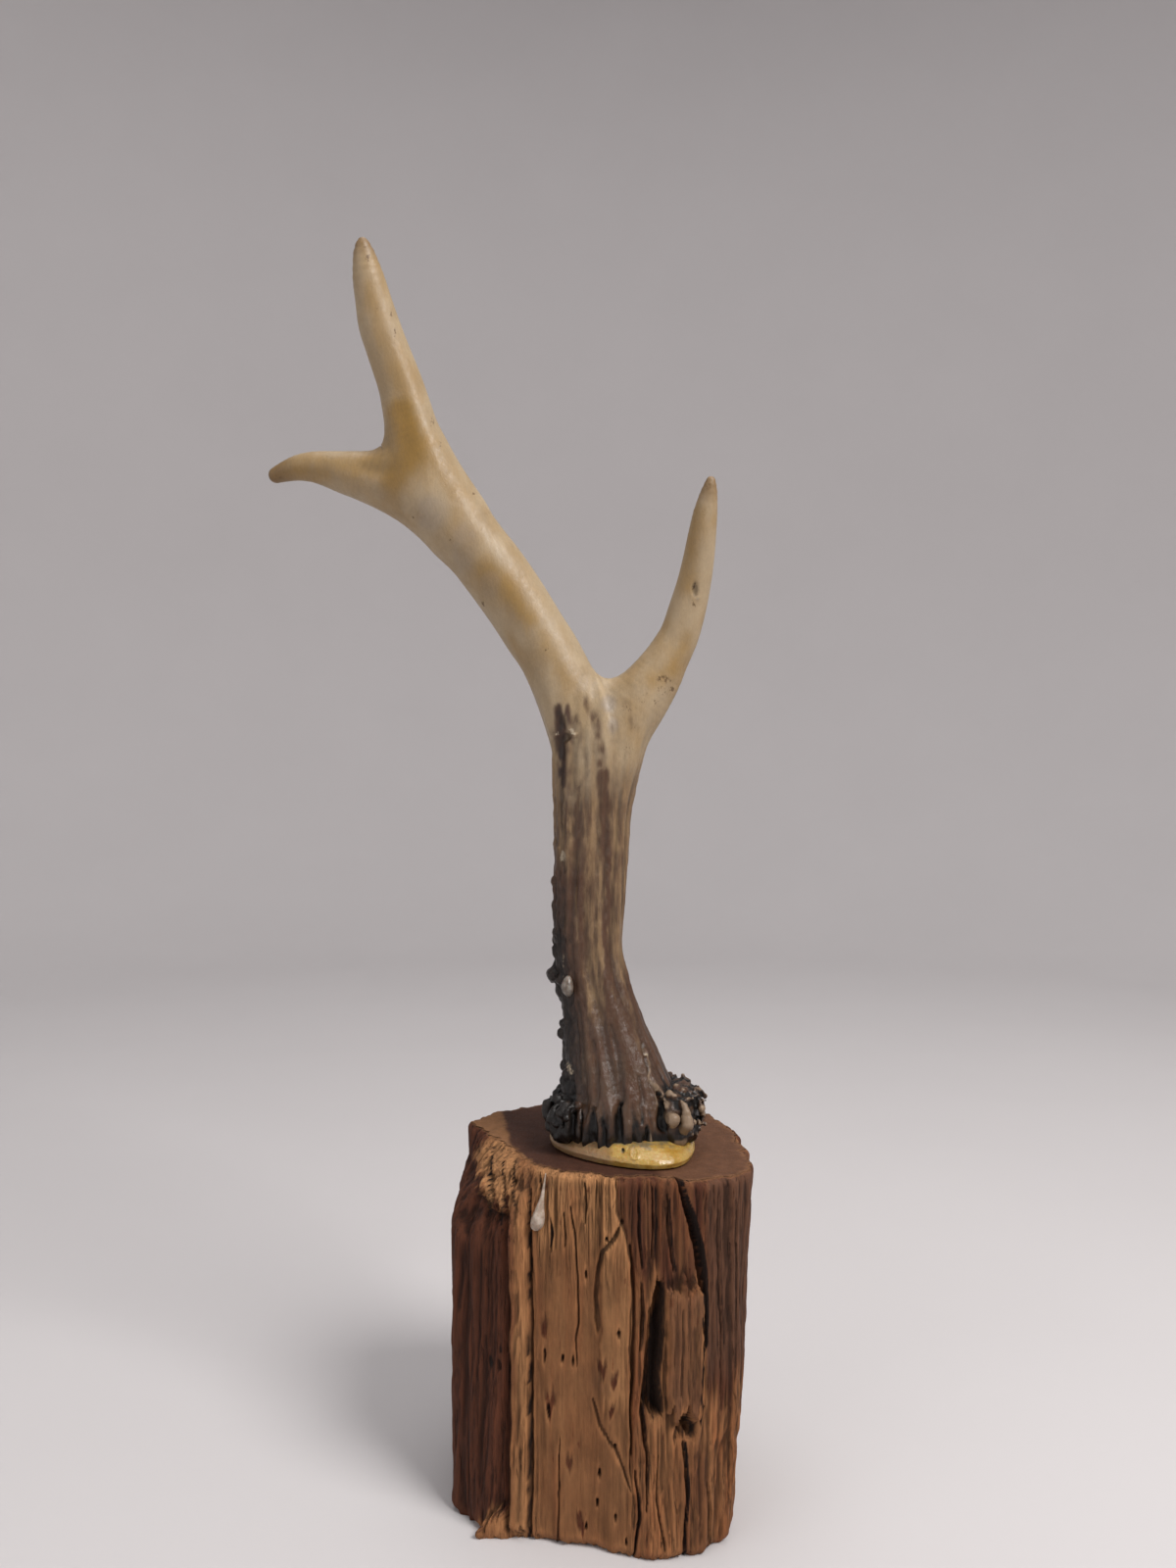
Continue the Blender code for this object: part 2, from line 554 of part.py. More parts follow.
def seat(made, host, cutters):
    """Cut a piece back to where it meets its host, less the gap."""
    hollow = host.copy()
    hollow.data = host.data.copy()
    hollow.name = made.name + "_hollow"
    cutters.objects.link(hollow)
    swell = hollow.modifiers.new("swell", "DISPLACE")
    swell.strength = GAP * MM
    swell.mid_level = 0.0
    baked(hollow)
    return main_body(cut(made, hollow, "DIFFERENCE", "MANIFOLD"))


def painted(made, name, colour, roughness):
    material = bpy.data.materials.new(name)
    material.use_nodes = True
    shader = material.node_tree.nodes["Principled BSDF"]
    shader.inputs["Base Color"].default_value = (*colour, 1.0)
    shader.inputs["Roughness"].default_value = roughness
    shader.inputs["Metallic"].default_value = 0.0
    made.data.materials.clear()
    made.data.materials.append(material)
    for polygon in made.data.polygons:
        polygon.use_smooth = True


def main():
    for thing in list(bpy.data.objects):
        bpy.data.objects.remove(thing)
    parts = bpy.data.collections.new("mounted_antler")
    cutters = bpy.data.collections.new("cutters")
    for collection in (parts, cutters):
        bpy.context.scene.collection.children.link(collection)

    block = wood_block(parts, cutters)
    pad = glue_pad(parts)
    antler = seat(whole_antler(parts, cutters), pad, cutters)
    pieces = split_antler(antler, parts, cutters)
    foot = next(piece for piece in pieces if piece.name == "antler_lower_beam")
    drip = seat(drop("glue_drip", (-15.2, -19.6, 68.6), (1.6, 2.2, 2.8), 1.8, parts), block, cutters)
    bead = seat(drop("glue_bead", (-9.1, -5.3, 116.0), (1.4, 1.5, 1.8), 0.6, parts), foot, cutters)

    painted(block, "weathered_wood", WOOD_COLOUR, 0.85)
    painted(foot, "dark_antler", BEAM_COLOUR, 0.5)
    for piece in pieces:
        if piece is not foot:
            painted(piece, piece.name.replace("antler_", "ivory_"), IVORY_COLOUR, 0.35)
    painted(pad, "yellow_adhesive", GLUE_COLOUR, 0.3)
    painted(drip, "dried_drip", DRIP_COLOUR, 0.3)
    painted(bead, "dried_bead", DRIP_COLOUR, 0.3)
    for cutter in cutters.objects:
        cutter.hide_render = True
        cutter.display_type = "WIRE"


main()
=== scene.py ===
"""The mounted roe antler dressed for a studio picture, with fine meshes and procedural materials.

Arrays hold millimetres in the row frame. They become metres where a mesh is made.
"""

import math

import bmesh
import bpy
import numpy as np
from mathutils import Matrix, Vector


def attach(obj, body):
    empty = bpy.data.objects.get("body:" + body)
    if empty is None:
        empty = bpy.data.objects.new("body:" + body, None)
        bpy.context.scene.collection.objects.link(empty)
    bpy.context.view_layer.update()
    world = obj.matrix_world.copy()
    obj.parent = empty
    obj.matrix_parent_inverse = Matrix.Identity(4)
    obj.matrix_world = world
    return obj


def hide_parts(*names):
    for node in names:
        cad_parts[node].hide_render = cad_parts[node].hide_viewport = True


MM = 0.001
FAR = 1e9
SHADE_RANGE = (0.2, 0.8)  # the values between which a shade goes from its one end to the other

# Wood block: outlines seen from above, as (x, y) corners going round, at three heights
BLOCK_HEIGHT = 79.2
SHOULDER_HEIGHT = 60.0
TOP_OUTLINE = (
    (31.6, 0.0), (30.7, 12.5), (26.5, 22.7), (16.0, 31.5), (0.0, 35.5), (-16.0, 33.0),
    (-28.0, 26.0), (-34.9, 16.7), (-27.1, 3.8), (-22.3, -5.1), (-17.1, -16.2), (-11.2, -20.7),
    (-4.5, -22.0), (1.7, -25.1), (14.0, -26.3), (18.8, -29.1), (28.3, -23.3), (30.8, -20.7),
)
SHOULDER_OUTLINE = (
    (31.0, 0.0), (30.4, 12.0), (26.5, 22.5), (16.0, 31.5), (0.0, 35.5), (-16.0, 33.0), (-29.0, 25.5),
    (-36.0, 13.0), (-36.3, 0.0), (-33.0, -13.0), (-25.5, -18.5), (-17.5, -19.0), (-11.0, -21.3),
    (-4.5, -22.6), (1.7, -24.8), (14.0, -27.0), (19.5, -27.5), (27.6, -23.3), (29.6, -20.5),
)
BOTTOM_OUTLINE = (
    (27.0, 0.0), (26.6, 10.0), (23.0, 20.5), (14.5, 29.5), (0.0, 34.0), (-15.0, 32.0),
    (-28.0, 25.0), (-35.5, 13.0), (-36.0, 0.0), (-34.0, -13.5), (-28.1, -21.6), (-20.9, -20.0),
    (-10.8, -22.6), (-0.8, -24.5), (8.9, -28.2), (13.9, -27.3), (21.6, -24.2), (25.6, -21.4), (27.0, -13.6),
)
OUTLINE_STEPS = 260
BLOCK_COLUMNS = 640
FRONT_CROWDING = 0.35  # how much closer the columns stand in front than behind
TOP_RINGS = 20
BASE_RINGS = 3
LIP = (0.0, 0.2, 0.45, 0.8, 1.2, 1.7, 2.3)  # rows near each sawn end
PLAIN_ROWS = 102
SAWN_EDGE = 0.3
# the hollows found with these rounds are painted darker as shade, and the ridges lighter
BLOCK_HOLLOW_ROUNDS = 12  # rounds of smoothing against which hollows show

# Antler: spines as (x, y, z, radius), from the foot up
LOWER_SPINE = (
    (4.6, -2.6, 80.9, 13.3), (4.3, -2.6, 84.1, 13.3), (3.4, -2.2, 88.0, 12.9), (2.3, -1.5, 92.0, 12.2),
    (1.3, -0.8, 96.4, 11.3), (-0.2, 0.0, 102.6, 10.0), (-1.0, 0.6, 107.5, 9.1), (-2.3, 1.2, 112.8, 8.5),
    (-3.6, 1.8, 118.7, 8.2), (-4.2, 2.2, 123.6, 8.0), (-4.2, 3.0, 132.2, 8.1), (-3.9, 3.8, 141.4, 8.3),
    (-3.7, 4.6, 150.6, 8.5), (-3.5, 5.4, 159.3, 8.8), (-3.3, 6.0, 165.6, 8.9),
)
UPPER_SPINE = (
    (-3.3, 6.0, 165.6, 8.9), (-4.4, 6.4, 171.4, 8.5), (-6.3, 6.8, 176.5, 8.3), (-9.6, 7.0, 184.3, 7.9),
    (-13.5, 7.0, 192.6, 7.5), (-17.2, 7.0, 198.3, 7.6), (-20.8, 7.0, 204.0, 7.7), (-24.8, 6.8, 209.8, 7.8),
    (-29.1, 6.4, 215.5, 7.8), (-33.8, 6.0, 221.3, 7.5),
)
TOP_SPINE = (
    (-33.8, 6.0, 221.3, 7.5), (-37.0, 5.6, 227.4, 7.2), (-39.9, 5.2, 232.8, 6.9), (-43.4, 4.4, 239.7, 6.6),
    (-45.7, 3.8, 245.0, 6.2), (-47.0, 3.2, 250.3, 5.7), (-48.4, 2.6, 255.6, 5.25), (-51.2, 1.2, 263.4, 4.85),
    (-52.9, 0.0, 268.4, 4.7), (-54.0, -1.2, 273.4, 4.2), (-54.9, -2.6, 278.2, 3.7), (-55.6, -4.0, 282.9, 2.6),
    (-55.75, -4.5, 284.4, 1.95), (-55.8, -4.8, 285.25, 1.4),
)
REAR_SPINE = (
    (-36.5, 6.0, 223.5, 5.0), (-41.8, 6.0, 227.2, 6.0), (-47.0, 6.2, 230.8, 6.5), (-52.4, 6.6, 233.5, 6.3),
    (-58.1, 7.2, 235.3, 5.7), (-62.0, 7.8, 236.2, 5.1), (-65.9, 8.5, 237.2, 4.35), (-69.8, 9.2, 238.0, 3.7),
    (-73.7, 10.0, 238.1, 3.1), (-77.3, 10.9, 237.4, 2.4), (-79.7, 11.5, 236.7, 1.9),
)
FRONT_SPINE = (
    (-2.2, 6.0, 164.5, 6.2), (1.5, 5.8, 173.0, 7.4), (6.4, 5.4, 180.4, 7.2), (11.1, 4.8, 186.8, 6.1),
    (13.6, 4.3, 190.8, 5.3), (15.9, 3.8, 194.9, 4.8), (17.2, 3.2, 197.7, 4.55), (18.8, 2.0, 203.2, 4.3),
    (20.1, 0.6, 208.5, 3.9), (21.0, -1.0, 213.7, 3.6), (21.6, -2.8, 218.7, 3.3), (22.2, -4.6, 223.7, 2.8),
    (22.9, -6.2, 228.2, 1.9), (23.2, -7.0, 230.5, 1.1),
)
FORK_BLEND = 8.0
KNOB_BLEND = 0.6
LEAST_STEEPNESS = 0.25
SETTLING_ROUNDS = 4
MOST_SETTLING = 1.5
# rounds of smoothing that find the hollows and ridges for the painted shade and highlights
ANTLER_HOLLOW_ROUNDS = 24
FOOT_HEIGHT = 81.4
ANTLER_VOXEL = 0.47
PEARL_SEED = 7
BEAM_PEARLS = 64
BURR_PEARLS = 44
BURR_CENTRE = (4.0, -2.2)

# Glue: its rim seen from above, and the height of its rings with how far out each stands
GLUE_OUTLINE = (
    (-13.4, 1.8), (-12.6, -4.0), (-9.2, -10.0), (-4.0, -15.0), (2.0, -18.6), (8.0, -20.6), (12.6, -20.9),
    (15.4, -19.8), (17.4, -15.4), (19.2, -8.0), (19.4, 0.0), (17.0, 8.0), (11.0, 13.5), (3.5, 15.5),
    (-4.0, 14.0), (-10.0, 9.5),
)
GLUE_PROFILE = ((0.0, 1.0), (0.25, 1.02), (0.45, 0.99), (0.7, 0.92), (0.9, 0.83), (1.0, 0.72))
GLUE_HEIGHT = 4.4
GLUE_BASE = 79.5
GLUE_RIM = 460
GLUE_LEVELS = 26
DROP_SIDES = 20


# Numbers


def rise(value, low, high):
    """0 up to low and 1 from high, with a smooth rise between."""
    t = np.clip((value - low) / (high - low), 0.0, 1.0)
    return t * t * (3.0 - 2.0 * t)


def fade(value, low, high):
    """1 up to low and 0 from high."""
    return 1 - rise(value, low, high)


def lattice(i, j, k):
    """A fixed value from 0 to 1 for each whole-numbered point."""
    return np.mod(np.sin(i * 127.1 + j * 311.7 + k * 74.7) * 43758.5453, 1.0)


def noise(x, y, z):
    """Smooth value noise from 0 to 1."""
    x, y, z = np.broadcast_arrays(x, y, z)
    i, j, k = np.floor(x), np.floor(y), np.floor(z)
    fx, fy, fz = (rise(v, 0.0, 1.0) for v in (x - i, y - j, z - k))
    total = 0.0
    for di in (0, 1):
        for dj in (0, 1):
            for dk in (0, 1):
                weight = (fx if di else 1 - fx) * (fy if dj else 1 - fy) * (fz if dk else 1 - fz)
                total = total + weight * lattice(i + di, j + dj, k + dk)
    return total


def stripe(value, low, high, soft):
    """1 from low to high, falling to 0 over a soft edge."""
    return rise(value, low - soft, low + soft) * fade(value, high - soft, high + soft)


def path_distance(x, z, path):
    """Distance in the front view from a path of (x, z, half width) points, in half widths."""
    nearest = np.full(x.shape, FAR)
    for a, b in zip(path, path[1:]):
        run_x, run_z = b[0] - a[0], b[1] - a[1]
        t = np.clip(((x - a[0]) * run_x + (z - a[1]) * run_z) / (run_x**2 + run_z**2), 0, 1)
        gone = np.hypot(x - a[0] - t * run_x, z - a[1] - t * run_z)
        nearest = np.minimum(nearest, gone / (a[2] + t * (b[2] - a[2])))
    return nearest


def line(x, z, path, core, edge):
    """1 on a path, falling to 0 between core and edge, both in half widths."""
    return fade(path_distance(x, z, path), core, edge)


def spot(x, z, centre, half_sizes):
    """1 in the middle of an oval spot, falling to 0 a little outside it."""
    away = np.hypot((x - centre[0]) / half_sizes[0], (z - centre[1]) / half_sizes[1])
    return fade(away, 0.5, 1.3)


def spots(x, z, front, marks):
    """Marks of (middle, half sizes, strength) on the front, added up."""
    return sum(strength * front * spot(x, z, centre, sizes) for centre, sizes, strength in marks)


def dell(x, z, start, end, half_width):
    """1 in the middle of a run from start to end, falling gently to 0 at its ends and at half_width."""
    run_x, run_z = end[0] - start[0], end[1] - start[1]
    length = math.hypot(run_x, run_z)
    along = ((x - start[0]) * run_x + (z - start[1]) * run_z) / length**2
    across = ((x - start[0]) * run_z - (z - start[1]) * run_x) / (length * half_width)
    return rise(1 - np.abs(2 * along - 1), 0.0, 1.0) * rise(1 - np.abs(across), 0.0, 1.0)


# Meshes


def new_object(name, data):
    made = bpy.data.objects.new(name, data)
    bpy.context.scene.collection.objects.link(made)
    return made


def mesh_object(name, points, faces):
    """A smooth-shaded object from points in mm."""
    mesh = bpy.data.meshes.new(name)
    mesh.from_pydata([tuple(p) for p in np.asarray(points) * MM], [], faces)
    mesh.update()
    made = new_object(name, mesh)
    shade_smooth(made)
    return made


def ring_faces(first, second, around):
    """The faces between two rings of points, given where each ring starts."""
    turns = [(i, (i + 1) % around) for i in range(around)]
    return [(first + i, first + j, second + j, second + i) for i, j in turns]


def tube_faces(rings, around, capped=True):
    """The faces of a stack of rings, with a flat face at each end if capped."""
    faces = []
    for ring in range(rings - 1):
        faces += ring_faces(ring * around, (ring + 1) * around, around)
    if capped:
        last = (rings - 1) * around
        faces += [tuple(range(around - 1, -1, -1)), tuple(range(last, last + around))]
    return faces


def get_points(mesh):
    points = np.empty(len(mesh.vertices) * 3)
    mesh.vertices.foreach_get("co", points)
    return points.reshape(-1, 3) / MM


def set_points(mesh, points):
    mesh.vertices.foreach_set("co", (points * MM).ravel())
    mesh.update()


def get_normals(mesh):
    normals = np.empty(len(mesh.vertices) * 3)
    mesh.vertex_normals.foreach_get("vector", normals)
    return normals.reshape(-1, 3)


def neighbour_means(mesh, values, rounds):
    """Values averaged with their neighbours' over and over."""
    ends = np.empty(len(mesh.edges) * 2, int)
    mesh.edges.foreach_get("vertices", ends)
    first, second = ends.reshape(-1, 2).T
    count = len(mesh.vertices)
    links = np.maximum(np.bincount(first, minlength=count) + np.bincount(second, minlength=count), 1)
    values = values.astype(float)
    for _ in range(rounds):
        summed = np.stack(
            [np.bincount(first, column[second], count) + np.bincount(second, column[first], count)
             for column in values.T], axis=1)
        values = 0.5 * values + 0.5 * summed / links[:, None]
    return values


def hollowness(mesh, points, rounds):
    """How deep each vertex lies under its smoothed surroundings, in mm."""
    return ((neighbour_means(mesh, points, rounds) - points) * get_normals(mesh)).sum(axis=1)


def store(mesh, name, *channels):
    """Keep up to three arrays of 0 to 1 as a colour attribute for the materials."""
    attribute = mesh.attributes.new(name, "FLOAT_COLOR", "POINT")
    values = np.ones((len(mesh.vertices), 4))
    for i, channel in enumerate(channels):
        values[:, i] = np.clip(channel, 0, 1)
    attribute.data.foreach_set("color", values.ravel())


def shade_smooth(made):
    for polygon in made.data.polygons:
        polygon.use_smooth = True


# Materials


def srgb(red, green, blue):
    """A colour named in 8-bit values, as the linear colour a shader takes."""
    return tuple(
        v / 12.92 if v <= 0.04045 else ((v + 0.055) / 1.055) ** 2.4
        for v in (red / 255, green / 255, blue / 255)
    ) + (1.0,)


class Paint:
    """A material under construction."""

    def __init__(self, name, **constants):
        self.material = bpy.data.materials.new(name)
        self.material.use_nodes = True
        self.tree = self.material.node_tree
        self.shader = self.tree.nodes["Principled BSDF"]
        for socket, value in constants.items():
            self.shader.inputs[socket.replace("_", " ")].default_value = value
        self.place = self.add("ShaderNodeTexCoord").outputs["Object"]
        self.attributes = {}

    def add(self, kind, inputs=(), **settings):
        """A new node with settings, and its inputs linked or set in order of (key, value)."""
        node = self.tree.nodes.new(kind)
        for setting, value in settings.items():
            setattr(node, setting, value)
        for key, value in inputs:
            self.put(node.inputs[key], value)
        return node

    def put(self, socket, value):
        if isinstance(value, bpy.types.NodeSocket):
            self.tree.links.new(value, socket)
        else:
            socket.default_value = value

    def channel(self, attribute, letter):
        """One channel of a stored attribute."""
        if attribute not in self.attributes:
            source = self.add("ShaderNodeAttribute", attribute_name=attribute)
            split = self.add("ShaderNodeSeparateColor", [("Color", source.outputs["Color"])])
            self.attributes[attribute] = split
        return self.attributes[attribute].outputs["rgb".index(letter)]

    def noise(self, size, stretch=(1, 1, 1), detail=3.0, roughness=0.55, distortion=0.0, shift=0.0):
        """Noise with features of this size in mm, times the stretch along each axis."""
        scale = tuple(1 / (MM * size * s) for s in stretch)
        placed = self.add("ShaderNodeMapping", [("Vector", self.place), ("Scale", scale),
                                                ("Location", (shift, shift, shift))])
        made = self.add("ShaderNodeTexNoise", [("Vector", placed.outputs[0]), ("Scale", 1.0),
                                               ("Detail", detail), ("Roughness", roughness),
                                               ("Distortion", distortion)])
        return made.outputs[0]

    def maths(self, operation, a, b):
        return self.add("ShaderNodeMath", [(0, a), (1, b)], operation=operation).outputs[0]

    def times(self, value, *others):
        for other in others:
            value = self.maths("MULTIPLY", value, other)
        return value

    def rest(self, value):
        """What a value leaves of 1."""
        return self.maths("SUBTRACT", 1.0, value)

    def fit(self, value, low, high, to_low=0.0, to_high=1.0):
        """The value's range low to high turned smoothly into to_low to to_high."""
        return self.add("ShaderNodeMapRange", [("Value", value), ("From Min", low), ("From Max", high),
                                               ("To Min", to_low), ("To Max", to_high)],
                        interpolation_type="SMOOTHSTEP").outputs[0]

    def ragged(self, attribute, letter, wobble, amount, low, high):
        """A stored channel as a mask whose soft edge is broken up by a noise."""
        moved = self.times(self.maths("SUBTRACT", wobble, 0.5), amount)
        return self.fit(self.maths("ADD", self.channel(attribute, letter), moved), low, high)

    def layer(self, under, over, *mask):
        """One colour laid over another through a ragged mask."""
        return self.mix(self.ragged(*mask), under, over)

    def mix(self, factor, a, b, blend="MIX"):
        mixed = self.add("ShaderNodeMix", [(0, factor), (6, a), (7, b)], data_type="RGBA", blend_type=blend)
        return mixed.outputs[2]

    def shade(self, colour, value, low, high):
        """A colour made darker and lighter by a value from 0 to 1."""
        level = self.fit(value, *SHADE_RANGE, low, high)
        grey = self.add("ShaderNodeCombineColor", [(0, level), (1, level), (2, level)]).outputs[0]
        return self.mix(1.0, colour, grey, "MULTIPLY")

    def bump(self, height, depth, normal=None):
        """Relief of this depth in mm where the height runs from 0 to 1."""
        inputs = [("Height", height), ("Distance", depth * MM), ("Strength", 1.0)]
        if normal is not None:
            inputs.append(("Normal", normal))
        return self.add("ShaderNodeBump", inputs).outputs[0]

    def finish(self, colour, roughness, normal):
        self.put(self.shader.inputs["Base Color"], colour)
        self.put(self.shader.inputs["Roughness"], roughness)
        self.put(self.shader.inputs["Normal"], normal)
        return self.material


# Antler shape


def fine_spine(spine, step=1.5):
    """A smooth curve through a spine's points, as closely spaced (x, y, z, radius)."""
    points = np.array(spine)
    padded = np.concatenate([2 * points[:1] - points[1:2], points, 2 * points[-1:] - points[-2:-1]])
    fine = []
    for a, b, c, d in zip(padded, padded[1:], padded[2:], padded[3:]):
        count = max(1, round(float(np.linalg.norm(c[:3] - b[:3])) / step))
        for i in range(count):
            t = i / count
            fine.append(0.5 * (2 * b + (c - a) * t + (2 * a - 5 * b + 4 * c - d) * t**2
                               + (3 * b - a - 3 * c + d) * t**3))
    fine.append(points[-1])
    return np.array(fine)


def branch_distance(points, fine):
    """Distance from a branch's skin, less than 0 inside it, and the direction away from the branch."""
    centres, radii = fine[:, :3], fine[:, 3]
    square = (points**2).sum(axis=1)[:, None] - 2 * points @ centres.T + (centres**2).sum(axis=1)
    closest = (np.sqrt(np.maximum(square, 0)) - radii).argmin(axis=1)
    gap, away = np.full(len(points), FAR), np.zeros_like(points)
    for step in (-1, 0):
        start = np.clip(closest + step, 0, len(fine) - 2)
        a, b = fine[start], fine[start + 1]
        along = b[:, :3] - a[:, :3]
        t = np.clip(((points - a[:, :3]) * along).sum(axis=1) / (along**2).sum(axis=1), 0, 1)
        offset = points - a[:, :3] - t[:, None] * along
        gone = np.maximum(np.linalg.norm(offset, axis=1), 1e-6)
        new = gone - a[:, 3] - t * (b[:, 3] - a[:, 3])
        closer = new < gap
        gap[closer] = new[closer]
        away[closer] = (offset / gone[:, None])[closer]
    return gap, away


def blend(first, second, width):
    """The nearer of two distances, rounded where they meet, with its direction."""
    h = np.clip(0.5 + 0.5 * (second[0] - first[0]) / width, 0, 1)
    gap = second[0] + (first[0] - second[0]) * h - width * h * (1 - h)
    return gap, second[1] + (first[1] - second[1]) * h[:, None]


# A lobe of the burr from its upper end to its lower end: distance from the burr's middle, and height
LOBE_RUN = (0.0, 0.25, 0.5, 0.75, 1.0)
LOBE_REACH = (12.0, 15.7, 17.6, 17.8, 17.2)
LOBE_HEIGHT = (92.4, 91.8, 89.6, 86.4, 83.2)

# Beads at the right of the burr's front, as (x, y, z, radius)
FRONT_BEADS = (
    (13.7, -14.9, 88.3, 1.75), (16.0, -12.6, 91.4, 0.9), (17.6, -11.0, 92.0, 0.9), (16.6, -13.4, 86.2, 0.9),
    (18.0, -11.8, 84.2, 0.95),
)


def round_burr(turn, reach):
    """The (x, y) this far out from the burr's middle, which is a little shallower than wide."""
    return BURR_CENTRE[0] + reach * math.cos(turn), BURR_CENTRE[1] + 0.94 * reach * math.sin(turn)


def burr_knobs():
    """The thick rim of the burr with the lobes and beads that run out over it, as (x, y, z, radius)."""
    rng = np.random.default_rng(PEARL_SEED)
    knobs = []

    def place(degrees, reach, height, size):
        turn = math.radians(degrees)
        knobs.append((*round_burr(turn, reach * (1 + 0.05 * max(math.cos(turn), 0.0))), height, size))

    for degrees in np.arange(-34.0, 216.0, 9.0):
        place(degrees, 13.2, 85.0, 4.1)
        place(degrees, 12.8, 88.6 + 1.2 * math.cos(math.radians(degrees)), 3.9)
    degrees = -44.0
    while degrees < 224.0:
        lift = 1.5 * math.cos(math.radians(degrees))
        spacing = 0.2 if rng.uniform(0, 1) < 0.45 else 0.11
        girth, sway = rng.uniform(0.56, 0.8), rng.uniform(-3, 3)
        for along in np.arange(rng.uniform(0.0, 0.3), rng.uniform(0.7, 1.0), spacing):
            size = girth * (1.0 + 0.34 * math.sin(9.0 * along + 5.0 * sway))
            reach = np.interp(along, LOBE_RUN, LOBE_REACH) + rng.uniform(-0.15, 0.15)
            height = np.interp(along, LOBE_RUN, LOBE_HEIGHT) + lift * (1 - along)
            place(degrees + sway * (along - 0.5), reach, height, size)
        degrees += rng.uniform(6.0, 8.4)
    return knobs + list(FRONT_BEADS)


def beam_pearls(lower):
    """The pearls on the left and back of the lower beam, smaller and fewer going up."""
    rng = np.random.default_rng(PEARL_SEED + 1)
    pearls = []
    for _ in range(BEAM_PEARLS):
        height = 95 + 62 * rng.uniform(0, 1) ** 1.4
        angle = math.radians(rng.uniform(100, 205))
        size = rng.uniform(0.7, 1.5) * np.interp(height, (95, 120, 157), (1.15, 1.0, 0.6))
        x, y, z, radius = (np.interp(height, lower[:, 2], lower[:, i]) for i in range(4))
        reach = radius - 0.35 * size
        pearls.append((x + reach * math.cos(angle), y + reach * math.sin(angle), height, size))
    pearls += [(-12.4, 1.5, 117.9, 1.8), (-12.6, 3.0, 116.6, 1.3), (-10.0, 0.5, 106.5, 1.2),
               (-10.2, 1.0, 104.2, 1.3), (-9.3, -2.5, 94.0, 1.5), (-8.6, -4.0, 92.6, 1.3)]
    return pearls


def small_pearls():
    """Little pearls scattered over the burr."""
    rng = np.random.default_rng(PEARL_SEED + 2)
    pearls = []
    for _ in range(BURR_PEARLS):
        turn = math.radians(rng.uniform(-14, 224))
        height = rng.uniform(82.6, 92.5)
        reach = np.interp(height, (82, 86, 90, 94), (17.0, 17.8, 16.4, 13.0)) + rng.uniform(-0.5, 0.3)
        lift = 1.4 * math.cos(turn) * (height - 80) / 8
        pearls.append((*round_burr(turn, reach), height + lift, rng.uniform(0.5, 0.95)))
    return pearls


def antler_field(branches, knobs):
    """A function giving each point's distance from the antler's skin, and the slope of that distance."""
    def distance(points):
        lower, upper, top, rear, front = (branch_distance(points, branch) for branch in branches)
        chain = lower
        for other in (upper, top):
            closer = other[0] < chain[0]
            chain = np.where(closer, other[0], chain[0]), np.where(closer[:, None], other[1], chain[1])
        gap, away = blend(blend(chain, front, FORK_BLEND), rear, FORK_BLEND)
        for x, y, z, size in knobs:
            near = np.flatnonzero(np.abs(points[:, 2] - z) < size + 4)
            offset = points[near] - (x, y, z)
            gone = np.maximum(np.linalg.norm(offset, axis=1), 1e-6)
            knob = gone - size, offset / gone[:, None]
            gap[near], away[near] = blend((gap[near], away[near]), knob, KNOB_BLEND)
        return gap, away
    return distance


def burr_reach(x, y):
    """Distance from the burr's middle, seen from above."""
    return np.hypot(x - BURR_CENTRE[0], y - BURR_CENTRE[1])


def beam_angle(points, lower):
    """Direction of each point round the lower beam, in radians, with the front at -90 degrees."""
    x, y = (np.interp(points[:, 2], lower[:, 2], lower[:, i]) for i in (0, 1))
    return np.arctan2(points[:, 1] - y, points[:, 0] - x)


def beam_ridges(points, lower):
    """Lengthwise ridges and gutters of the lower beam, strongest at the foot."""
    angle, height = beam_angle(points, lower), points[:, 2]
    around_x, around_y = np.cos(angle), np.sin(angle)
    coarse = noise(around_x * 3.1 + 5, around_y * 3.1, height / 38.0) - 0.5
    fine = noise(around_x * 6.3, around_y * 6.3 + 3, height / 17.0) - 0.5
    strength = np.interp(height, (80, 88, 110, 160, 182, 190), (1.9, 1.7, 1.2, 0.9, 0.5, 0.0))
    return strength * (1.1 * coarse + 0.7 * fine)


